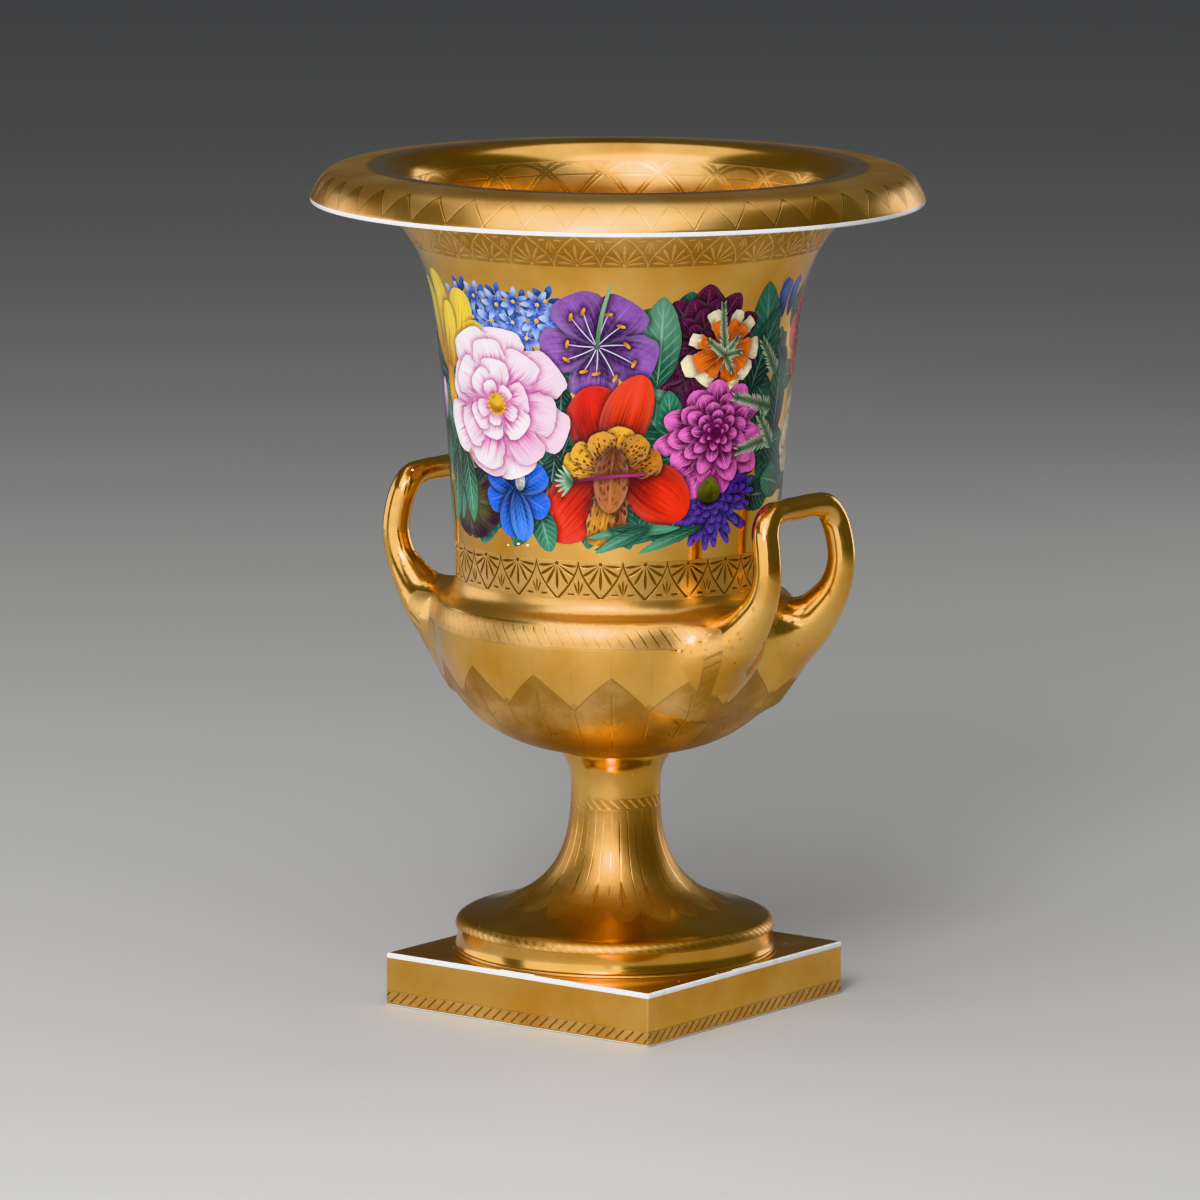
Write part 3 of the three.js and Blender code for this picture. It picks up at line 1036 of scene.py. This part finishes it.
def stamens(turn, height, size, count, thread, head="anther"):
    for k in range(count):
        aim = 12 + 360 * k / count + dice.uniform(-8, 8)
        reach = size * dice.uniform(0.46, 0.68)
        addPetal(turn, height, aim, reach, 0.5, (thread, thread), start=1.0, swell=(0.1, 0.2), bow=0.12)
        addPetal(*beside(turn, height, aim + 6, reach + 1.2), aim + dice.uniform(50, 110), 4.2, 1.6, head,
                 start=-2.1, swell=(0.4, 0.4))


def sprig(turn, height, aim, length, needle):
    # a fir twig with needles on both sides
    addPetal(turn, height, aim, length, 0.9, "twig", swell=(0.1, 0.4))
    rows = int(length / 0.95)
    for k in range(rows):
        share = (k + 0.5) / rows
        place = beside(turn, height, aim, length * share)
        for lean in (-50, 50):
            lie = aim + lean * (1 - share * 0.45) + dice.uniform(-9, 9)
            addPetal(*place, lie, needle * (1 - share * 0.3), 0.8, "fir", swell=(0.35, 0.5), streak=0.2)


def spray(turn, height, wide, tall, count, size=8.4):
    # small star flowers in loose rows, the lower layer darker
    for layer, tone in enumerate(("skyBehind", "sky")):
        for k in range(count):
            along = (k + 0.5 * layer + 0.25) / count
            place = (turn + (along * 2 - 1) * wide + dice.uniform(-1.5, 1.5),
                     height + ((k + layer) % 3 - 1) * tall + dice.uniform(-2, 2))
            star = size * dice.uniform(0.85, 1.12)
            rosette(*place, 6, star * 0.1, star, star * 0.4, tone, twist=dice.uniform(0, 60), jitter=8,
                    swell=(0.8, 0.7), streak=0.8, vein=0.3)
            eye(*place, star * 0.13, "pollen")


def paintGround():
    # dark leaves that close the gaps between the flowers
    for row, (height, count) in enumerate(((296, 46), (268, 46), (247, 44), (316, 44))):
        for k in range(count):
            turn = 360 * (k + row * 0.37) / count + dice.uniform(-2, 2)
            leaf(turn, height + dice.uniform(-5, 5), dice.uniform(0, 360), dice.uniform(19, 25),
                 dice.uniform(13, 17), "ground%d" % ((k + row) % 4), bow=dice.uniform(-0.2, 0.2))


def paintBack():
    # the far side carries the same kinds of flower in the same colours
    openFlower(126, 312, 24, "scarlet", throat="2a0a08")
    stamens(126, 312, 20, 9, "f3e6c8")
    doubleFlower(131, 262, 29, "ivory", "ivoryHeart", stretch=(1.15, 0.95))
    spray(156, 326, 16, 7.0, 11)
    dahlia(163, 288, 27, "pink", "4a0a38")
    aster(150, 237, 23, "blueAster", stretch=(1.0, 0.72))
    doubleFlower(203, 300, 33, "rose", "roseHeart", stretch=(1.15, 0.95))
    openFlower(181, 246, 22, "blueBack", count=5, throat="081c50")
    stamens(181, 246, 17, 7, "e8eefa", "antherPale")
    dahlia(216, 249, 24, "plumBack", "4a0a38", stretch=(1.1, 0.9))
    openFlower(238, 316, 23, "violetBack")
    stamens(238, 316, 20, 9, "efe8fa")
    rosette(247, 268, 8, 2.0, 26, 14, "yellow", swell=(0.7, 0.35), streak=1.0, vein=0.2)
    eye(247, 268, 5.5, "brownEye")
    aster(268, 316, 24, "pinkAster", stretch=(1.1, 0.95))
    doubleFlower(279, 266, 28, "peach", "peachHeart", stretch=(1.1, 0.95))
    spray(300, 322, 12, 7.0, 8, size=8.2)
    dahlia(302, 284, 21, "blueDahlia", "151040")
    openFlower(252, 238, 17, "smallRed", count=5, throat="2a0a08")
    for turn, aim in ((146, 200), (196, 170), (234, 185), (268, 200), (298, 175), (310, 160), (118, 190)):
        leaf(turn, 247, aim, 24, 11, "leafMid")
    for turn in (140, 186, 222, 256, 290):
        leaf(turn, 322, dice.uniform(-30, 30), 20, 10, "leafMid")


def paintSprays():
    # blue sprays and the crocus, under the larger flowers
    leaf(13.5, 315, 25, 15, 11, "leafPale")
    spray(-3, 325, 22, 7.5, 16)
    crocus = ((-33, -24, 46, 15), (-30, -6, 48, 15), (-26, 14, 42, 18), (-24, 34, 31, 15), (-30, 4, 34, 12))
    for turn, aim, length, width in crocus:
        addPetal(turn, 295, aim, length, width, "yellow", swell=(0.75, 0.4), streak=1.0, vein=0.2)
    addPetal(-32, 300, 176, 24, 8, "amber", swell=(0.5, 0.6), streak=0.8, vein=0.2)
    addPetal(-42, 272, 8, 20, 7, "lilac", swell=(0.6, 0.6), streak=0.8, vein=0.2)


def paintRight():
    # maroon, orange and magenta flowers, the aster, fir twigs and leaves
    for turn, aim in ((99, -8), (103, 14), (95, 24)):
        addPetal(turn, 322, aim, 19, 8, "indigo", swell=(0.6, 0.4), streak=0.6, vein=0.2)
    leaf(93, 297, -4, 44, 20, "leafMid", bow=-0.1)
    behind = ((56, 302, 150), (60, 300, 100), (84, 300, 140), (88, 268, 30), (90, 262, 80), (86, 252, 20))
    for turn, height, aim in behind:
        leaf(turn, height, aim, 27, 16, "leafDark")
    leaf(85, 290, 18, 40, 17, "leafDark", bow=0.12)
    leaf(101, 270, 8, 34, 18, "leafDark", bow=-0.1)
    dahlia(65.5, 312, 29.5, "plum", "3a0428")
    leaf(49.5, 295, 5, 42, 18, "leafPale", bow=-0.05)
    leaf(57, 287, -62, 15, 6, "leafPale")
    for k in range(9):
        aim = 16 + 40 * k + dice.uniform(-9, 9)
        reach = 20 * dice.uniform(0.8, 1.1)
        wide = 10 if 60 < aim % 360 < 250 else 6.5  # the hanging petals are broader
        addPetal(73, 311, aim, reach, wide, "cream", start=2.0, swell=(0.5, 0.14), ruffle=0.12, streak=0.8)
        addPetal(73, 311, aim, reach * 0.7, wide * 0.94, "orange", start=2.0, swell=(0.55, 0.1), ruffle=0.1,
                 streak=1.0, vein=0.2)
    for aim, length in ((-8, 24), (38, 10), (-50, 11), (80, 8), (150, 8)):
        sprig(73, 308, aim, length, 3.6)
    spread = ((320, 36, 17), (345, 30, 14), (20, 28, 15), (210, 30, 15), (250, 26, 14), (150, 34, 16))
    for aim, length, width in spread:
        leaf(57, 264, aim, length, width, "leafMid", bow=0.1)
    aster(69.5, 243, 28, "blueAster", stretch=(1.02, 0.84))
    dahlia(71, 273, 27.5, "magenta", "4a0a38", stretch=(1.1, 0.98), droop=0.12)
    addPetal(69.5, 241, 4, 12.5, 12.5, "bud", swell=(0.45, 0.8), spots=0.6)
    twigs = ((98, 281, -74, 27), (99, 268, -100, 24), (99, 296, -38, 20), (101, 262, -40, 20))
    for turn, height, aim, length in twigs:
        sprig(turn, height, aim, length, 6.0)


def paintMiddle():
    # the violet flower and the red one with its spotted heart
    openFlower(30.5, 314, 26, "violet", count=5, twist=40)
    stamens(30.5, 314, 24, 11, "ddd2f2")
    addPetal(30.5, 313, 4, 30, 1.8, "pistil", swell=(0.1, 0.2), bow=0.14)
    behind = (
        (20, 284, -150), (16, 264, -170), (18, 262, 20), (14, 252, 200), (19, 296, 185), (22, 290, 170),
    )
    for turn, height, aim in behind:
        leaf(turn, height, aim, 26, 13, "leafDark")
    for turn, aim in ((30, 190), (38, 170), (44, 150)):
        leaf(turn, 246, aim, 25, 14, "leafMid")
    reds = (
        (34.5, 261, -14, 36, 30, "redBehind", 0.0), (35.5, 261, 13, 42, 22, "redTop", 0.08),
        (33, 258, 219, 42, 29, "red", 0.0), (39, 258, 125, 37, 27, "red", 0.0),
    )
    for *petal, bow in reds:
        addPetal(*petal, bow=bow, swell=(0.6, 0.55), streak=0.6)
    lobes = (
        (186, 32, 19, "rust"), (194, 34, 12, "honey"), (280, 22, 12, "gold"), (300, 20, 11, "goldDeep"),
        (76, 22, 13, "ochre"), (14, 20, 14, "goldWarm"), (338, 18, 13, "ochrePale"),
        (44, 20, 12, "ochreMid"),
    )
    for lobe in lobes:
        addPetal(35.5, 257, *lobe, start=1.0, swell=(0.75, 0.35), ruffle=0.1, streak=1.0, spots=0.9)
    addPetal(35.5, 264, 184, 30, 16, "heartBrown", start=-4.0, swell=(0.5, 0.5), streak=1.0, vein=0.3,
             spots=0.7)
    addPetal(22, 252, 78, 33, 1.4, "stalk", swell=(0.1, 0.1), bow=0.1)
    for k in range(7):
        addPetal(22, 252, 218 + 18 * k, 9, 1.5, "tuft", swell=(0.4, 0.5))
    for turn, aim, length in ((62, 262, 46), (56, 268, 40), (68, 255, 34), (34, 95, 34), (48, 250, 28)):
        leaf(turn, 231, aim, length, 5.2, "blade", bow=-0.08, vein=0.6)


def paintLeft():
    # hanging leaves, the royal blue flower and the pale double flower
    for turn, aim in ((-9, 205), (9, 165), (-3, 230), (6, 205), (-14, 190)):
        leaf(turn, 241, aim, 23, 13, "leafMid")
    for aim in (205, 160, 250, 110, 300, 60):
        addPetal(-23, 238, aim, 18, 15, "oliveDark", start=2.0, swell=(0.7, 0.25), ruffle=0.09, streak=0.7,
                 spots=0.25, stretch=(1.15, 0.85))
    for aim in (250, 116, 300, 58):
        addPetal(0.5, 246, aim, 19, 14, "royal", swell=(0.7, 0.4), streak=1.0, vein=0.4)
    addPetal(0.5, 248, 192, 24, 15, "royalMid", swell=(0.75, 0.5), streak=1.0, vein=0.4)
    addPetal(0.5, 247, 170, 24, 13, "royalPale", swell=(0.75, 0.5), streak=1.0, vein=0.4)
    addPetal(2, 246, 6, 9, 5.6, "silver", swell=(0.5, 0.5), streak=0.4, spots=0.4)
    hanging = ((-38, 272, 186, 32), (-30, 268, 178, 40), (-25, 262, 170, 34), (-33, 258, 188, 34))
    for turn, height, aim, length in hanging:
        leaf(turn, height, aim, length, 12.5, "leafHung", bow=0.05)
    doubleFlower(-6, 285, 36, "rose", "roseHeart", stretch=(1.05, 0.99))


def paintChips():
    # small losses in the gold under the flowers
    for turn, height, size in ((0.6, 221.6, 1.1), (4.4, 221.4, 0.9), (-4.0, 220.4, 0.7), (152, 221.5, 0.9)):
        addPetal(turn, height, 80, size * 2, size, "chip", start=-size, swell=(0.4, 0.5), streak=0.0)


for paint in (paintGround, paintBack, paintSprays, paintRight, paintMiddle, paintLeft, paintChips):
    paint()
print("stage: flowers drawn,", len(shapes), "shapes")


def enamel():
    # overglaze colours with brush streaks, veins and spots that follow each petal
    material, tree, shader = newMaterial("paintedEnamel")

    def read(name, out):
        node = tree.nodes.new("ShaderNodeAttribute")
        node.attribute_name = name
        return Field(tree, node.outputs[out])

    s, t, mark = apart(read("paintPlace", "Vector"))
    streak, vein, spots = apart(read("paintStyle", "Vector"))
    shadow = read("paintShade", "Fac")
    base = read("paintBase", "Color")
    tip = read("paintTip", "Color")
    side = abs(t)
    brush = noise(vector(t * 8.0, s * 0.7, mark * 37), 1.6, 3.0, 0.6)
    wash = noise(vector(t * 1.3, s * 1.6, mark * 61), 1.5, 2.0, 0.5)
    shade = ease(s + (brush - 0.5) * streak * 1.5 + (wash - 0.5) * 0.5, 0.1, 0.85)
    rib = ease(side, 0.09, 0.03) * ease(s, 0.97, 0.8)
    ribs = ease(abs(cell(s * 8 - side * 1.9)), 0.17, 0.05) * span(side, 0.0, 0.2, 0.75, 0.97)
    cells = tree.nodes.new("ShaderNodeTexVoronoi")
    plug(tree, vector(t * 2.2, s * 4.5, mark * 29), cells.inputs["Vector"])
    cells.inputs["Scale"].default_value = 1.9
    blot = ease(Field(tree, cells.outputs["Distance"]), 0.45, 0.3) * ease(s, 0.98, 0.75)
    glow = ease(side, 0.75, 0.0) * ease(s, 0.2, 0.55) * 0.2
    rim = ease(side, 0.8, 1.0) * 0.16 + ease(s, 0.14, 0.0) * 0.25
    depth = 1 + glow - rim + (brush - 0.5) * streak * 0.3
    pale = blend(0.22, tip, (1.0, 1.0, 1.0, 1.0))
    colour = blend(ease(side, 0.5, 0.95) * streak * 0.25, blend(shade, base, tip), pale)
    colour = blend(most(rib, ribs * 0.6) * vein * 0.7, colour, pale)
    colour = blend(blot * spots, colour, tint("4a1a0c"))
    colour = blend(1.0, colour, vector(depth, depth, depth), "MULTIPLY")
    colour = blend(shadow * 0.8, colour, blend(0.75, base, base, "MULTIPLY"))
    plug(tree, colour, shader.inputs["Base Color"])
    plug(tree, 0.17 + wash * 0.1, shader.inputs["Roughness"])
    addBump(tree, shader, brush, 0.03, 0.35)
    return material


def bellMasks(spot):
    upperGround, upperStroke = palmettes(spot, "upper")
    lowerGround, lowerStroke = palmettes(spot, "lower")
    return {
        "Matt": most(upperGround, lowerGround),
        "Stroke": most(upperStroke, lowerStroke),
        # painted shade darkens the lower band's strokes; the upper band's strokes stay bright on a ground
        # darkened with painted shade
        "Ink": ease(spot["Height"], bell["bandHigh"], bell["bandLow"]) * 0.9,
        "Dust": upperGround * 0.8,
        "Rubbed": 0.15,
    }


def flatBand():
    # triangles of the unrolled band, each with the topmost shape over it
    half = math.pi * bell["unroll"]
    low, high, step = bell["bandLow"], bell["bandHigh"], bell["grid"]
    across = np.linspace(-half, half, turns + 1)
    upright = np.linspace(low, high, 33)[1:-1]
    points = [(u, low) for u in across] + [(half, z) for z in upright]
    points += [(u, high) for u in across[::-1]] + [(-half, z) for z in upright[::-1]]
    faces = [list(range(len(points)))]
    owners = [None]
    for row, z in enumerate(np.arange(low + step, high - step * 0.6, step * 0.87)):
        for u in np.arange(-half + step * (0.6 + 0.5 * (row % 2)), half - step * 0.5, step):
            points.append((u, z))
    for shape in shapes:
        home = (shape["centre"][0] + half) // (2 * half) * (2 * half)
        for lap in (-2 * half, 0.0, 2 * half):
            shift = np.array([lap - home, 0.0])
            rim = shape["rim"] + shift
            if rim[:, 0].max() < -half or rim[:, 0].min() > half:
                continue
            faces.append(list(range(len(points), len(points) + len(rim))))
            points.extend(map(tuple, (*rim, *(shape["inner"] + shift))))
            owners.append((shape, shift))
    made, _, tris, _, _, covers = delaunay_2d_cdt([Vector(p) for p in points], [], faces, 1, 1e-4, True)
    kept = [(tri, max(cover)) for tri, cover in zip(tris, covers) if 0 in cover]
    return np.array([p[:] for p in made]), kept, owners


def shadeBeside(places, owners):
    # for each point, the highest shape it lies against and how close it is to that shape's rim
    rank = np.zeros(len(places), int)
    value = np.zeros(len(places))
    reach = bell["shadeReach"]
    for order, (shape, shift) in enumerate(owners[1:], 1):
        rim = shape["rim"] + shift
        low, high = rim.min(axis=0) - reach, rim.max(axis=0) + reach
        near = np.nonzero(((places > low) & (places < high)).all(axis=1))[0]
        away = places[near][:, None] - rim
        edge = np.roll(rim, -1, axis=0) - rim
        part = np.clip((away * edge).sum(axis=2) / np.maximum((edge**2).sum(axis=1), 1e-9), 0, 1)
        gap = np.linalg.norm(away - part[..., None] * edge, axis=2).min(axis=1)
        close = gap < reach
        rank[near[close]] = order
        value[near[close]] = 1 - gap[close] / reach
    return rank, value


def paintCorners(places, kept, owners, count):
    # what the enamel reads at each corner; the painted triangles come first in the mesh
    rank, value = shadeBeside(places, owners)
    corners = np.array([tri for tri, _ in kept])
    tops = np.array([top for _, top in kept])
    widths = {"paintPlace": 3, "paintStyle": 3, "paintShade": 1, "paintBase": 4, "paintTip": 4}
    paint = {name: np.full((count, width), float(width == 4)) for name, width in widths.items()}
    for top in np.unique(tops[tops > 0]):
        shape, shift = owners[top]
        rows = np.nonzero(tops == top)[0]
        loops = (rows[:, None] * 3 + np.arange(3)).ravel()
        mine = corners[rows].ravel()
        s, t = toPetal(shape, places[mine] - shift)
        paint["paintPlace"][loops] = np.stack([s, t, np.full(len(s), shape["mark"])], axis=1)
        paint["paintStyle"][loops] = shape["style"]
        paint["paintShade"][loops, 0] = np.where(rank[mine] > top, value[mine], 0)
        paint["paintBase"][loops] = shape["base"]
        paint["paintTip"][loops] = shape["tip"]
    return paint


def shadeBell(mesh):
    # the outer skin takes its normals from the profile, so the painted triangles don't show
    x, y, height = (readArray(mesh.vertices, "co", 3) / mm).T
    radius = np.hypot(x, y)
    lean = (radiusAt(height + 0.25) - radiusAt(height - 0.25)) / 0.5
    slope = unit(np.stack([x / radius, y / radius, -lean], axis=1))
    followSkin(mesh, np.abs(radius - radiusAt(height)) < 0.1, slope)


def wrap(angle):
    return (angle + math.pi) % (2 * math.pi) - math.pi


def unrollBell(mesh):
    # texture layout: front half, back half above it, and the lining in a column beside them
    first = readArray(mesh.polygons, "loop_start", kind=np.int32)
    face = np.repeat(np.arange(len(first)), readArray(mesh.polygons, "loop_total", kind=np.int32))
    corner = readArray(mesh.loops, "vertex_index", kind=np.int32)
    x, y, height = (readArray(mesh.vertices, "co", 3) / mm)[corner].T
    radius = np.hypot(x, y)
    front = math.radians(bell["front"])
    skin = np.logical_and.reduceat(np.abs(radius - radiusAt(height)) < 0.1, first)[face]
    middle = np.arctan2(np.add.reduceat(x, first), -np.add.reduceat(y, first))[face] - front
    spread = wrap(np.arctan2(x, -y) - front - middle)  # a face's corners stay beside its middle
    middle = wrap(middle)
    back = np.abs(middle) > math.pi / 2
    along = np.where(back, wrap(middle - math.pi), middle) + spread
    gap, wall, tall = bell["mapGap"], vessel["wall"], vessel["neck"][1] - seam
    scale = 1 / (2 * tall + 3 * gap)
    stripHalf = math.pi / 2 * bell["unroll"] + gap
    column = 2 * stripHalf * scale
    u = (along * bell["unroll"] + stripHalf) * scale
    v = (height - seam + gap + back * (tall + gap)) * scale
    inward = np.where(height > seam + 1e-3, height - seam, radius - vessel["bellFoot"][0] + wall)
    liningU = column + (1 - column) * (0.05 + 0.9 * (inward + wall) / (tall + 2 * wall))
    liningV = 0.5 + (middle + spread) / (2 * math.pi) * 0.97
    layout = np.stack([np.where(skin, u, liningU), np.where(skin, v, liningV)], axis=1)
    mesh.uv_layers.new(name="OFBake").uv.foreach_set("vector", layout.astype(np.float32).ravel())


def buildBell():
    places, kept, owners = flatBand()
    angle = places[:, 0] / bell["unroll"]
    radius = radiusAt(places[:, 1])
    points = np.stack([radius * np.sin(angle), -radius * np.cos(angle), places[:, 1]], axis=1)
    faces = [tuple(tri) for tri, _ in kept]
    picks = [top > 0 for _, top in kept]
    low, high = bell["bandLow"], bell["bandHigh"]
    onWall = wallOutside[wallOutside[:, 1] >= seam - 1e-6]
    lining = wallInside[wallInside[:, 1] > seam + 0.4][::-1]
    lower = chain(onWall[onWall[:, 1] < low - 0.5], (radiusAt(low), low))
    upper = chain((radiusAt(high), high), onWall[onWall[:, 1] > high + 0.5], lining, seamInside,
                  vessel["bellFoot"])
    for profile in (lower, upper):
        start = len(points)
        ringPoints, ringFaces, _ = turned(profile)
        points = np.vstack([points, ringPoints])
        faces += [tuple(start + i for i in face) for face in ringFaces]
        picks += [False] * len(ringFaces)
    materials = [gild("giltBell", bellMasks), enamel()]
    mesh = newPiece("urnBell", points, faces, materials, *vesselNode, picks).data
    kinds = {1: ("FLOAT", "value"), 3: ("FLOAT_VECTOR", "vector"), 4: ("FLOAT_COLOR", "color")}
    for name, values in paintCorners(places, kept, owners, len(mesh.loops)).items():
        kind, key = kinds[values.shape[1]]
        mesh.attributes.new(name, kind, "CORNER").data.foreach_set(key, values.ravel())
    bm = bmesh.new()
    bm.from_mesh(mesh)
    bmesh.ops.remove_doubles(bm, verts=bm.verts, dist=4e-6)
    bm.to_mesh(mesh)
    bm.free()
    mesh.set_sharp_from_angle(angle=sharpAngle)
    shadeBell(mesh)
    unrollBell(mesh)
    print("stage: bell made,", len(mesh.polygons), "faces")


buildBell()


# Floor, light and camera
studio = {
    "floorHalf": 40.0, "floorColour": (0.58, 0.575, 0.56, 1), "floorRoughness": 0.6,
    "skyColour": (0.8, 0.82, 0.86, 1), "skyStrength": 0.15, "aim": (0, 0, 0.2), "turn": bell["front"],
    "distance": 3.908, "height": 0.831, "pitch": 9.369, "roll": 0.214, "yaw": -0.109, "lens": 259.95,
    # a small key and top box for the paint, wide dim panels for the gold to mirror;
    # each has its power, size, turn, rise and distance
    "lights": {
        "keyBox": (24, (0.5, 0.7), 24, 32, 2.2), "topBox": (14, (2.2, 2.2), 30, 80, 1.7),
        "highPanel": (12, (2.0, 1.1), 20, 50, 1.9), "frontPanel": (9, (2.2, 1.0), 0, 9, 1.8),
        "leftPanel": (6, (1.6, 1.0), -75, 9, 1.8), "stripPanel": (1.8, (0.12, 1.0), 38, 7, 2.0),
        "rightPanel": (4, (0.8, 1.0), 172, 9, 1.8),
    },
}


def buildFloor():
    half = studio["floorHalf"]
    mesh = bpy.data.meshes.new("studioFloor")
    corners = [(-half, -half, 0), (half, -half, 0), (half, half, 0), (-half, half, 0)]
    mesh.from_pydata(corners, [], [(0, 1, 2, 3)])
    material, _, shader = newMaterial("paleFloor")
    shader.inputs["Base Color"].default_value = studio["floorColour"]
    shader.inputs["Roughness"].default_value = studio["floorRoughness"]
    mesh.materials.append(material)
    floor = newObject("studioFloor", mesh)


def addLight(name, power, size, turn, rise, away):
    light = bpy.data.lights.new(name, "AREA")
    light.shape = "RECTANGLE"
    light.size, light.size_y = size
    light.energy = power
    a, e = math.radians(turn), math.radians(rise)
    aim = Vector(studio["aim"])
    lamp = newObject(name, light)
    way = Vector((math.sin(a) * math.cos(e), -math.cos(a) * math.cos(e), math.sin(e)))
    lamp.location = aim + away * way
    lamp.rotation_euler = (aim - lamp.location).to_track_quat("-Z", "Y").to_euler()


def buildStudio():
    for name, values in studio["lights"].items():
        addLight(name, *values)
    world = bpy.data.worlds.new("studioWorld")
    world.use_nodes = True
    sky = world.node_tree.nodes["Background"]
    sky.inputs["Color"].default_value = studio["skyColour"]
    sky.inputs["Strength"].default_value = studio["skyStrength"]
    bpy.context.scene.world = world
    bpy.context.scene.view_settings.view_transform = "Khronos PBR Neutral"


def buildCamera():
    s = studio
    a, p, r, y = (math.radians(s[k]) for k in ("turn", "pitch", "roll", "yaw"))
    up = Vector((0, 0, 1))
    forward = Vector((-math.sin(a), math.cos(a), 0))
    right = Vector((math.cos(a), math.sin(a), 0))
    level = forward * math.cos(y) + right * math.sin(y)
    side = right * math.cos(y) - forward * math.sin(y)
    look = level * math.cos(p) - up * math.sin(p)
    top = up * math.cos(p) + level * math.sin(p)
    across = side * math.cos(r) + top * math.sin(r)
    rise = top * math.cos(r) - side * math.sin(r)
    matrix = Matrix((across, rise, -look)).transposed().to_4x4()
    matrix.translation = Vector((s["distance"] * math.sin(a), -s["distance"] * math.cos(a), s["height"]))
    data = bpy.data.cameras.new("photoCamera")
    data.lens = s["lens"]
    data.sensor_width = 36
    data.clip_end = 60
    camera = newObject("photoCamera", data)
    camera.matrix_world = matrix
    bpy.context.scene.camera = camera


buildFloor()
buildStudio()
buildCamera()
print("stage: studio made")
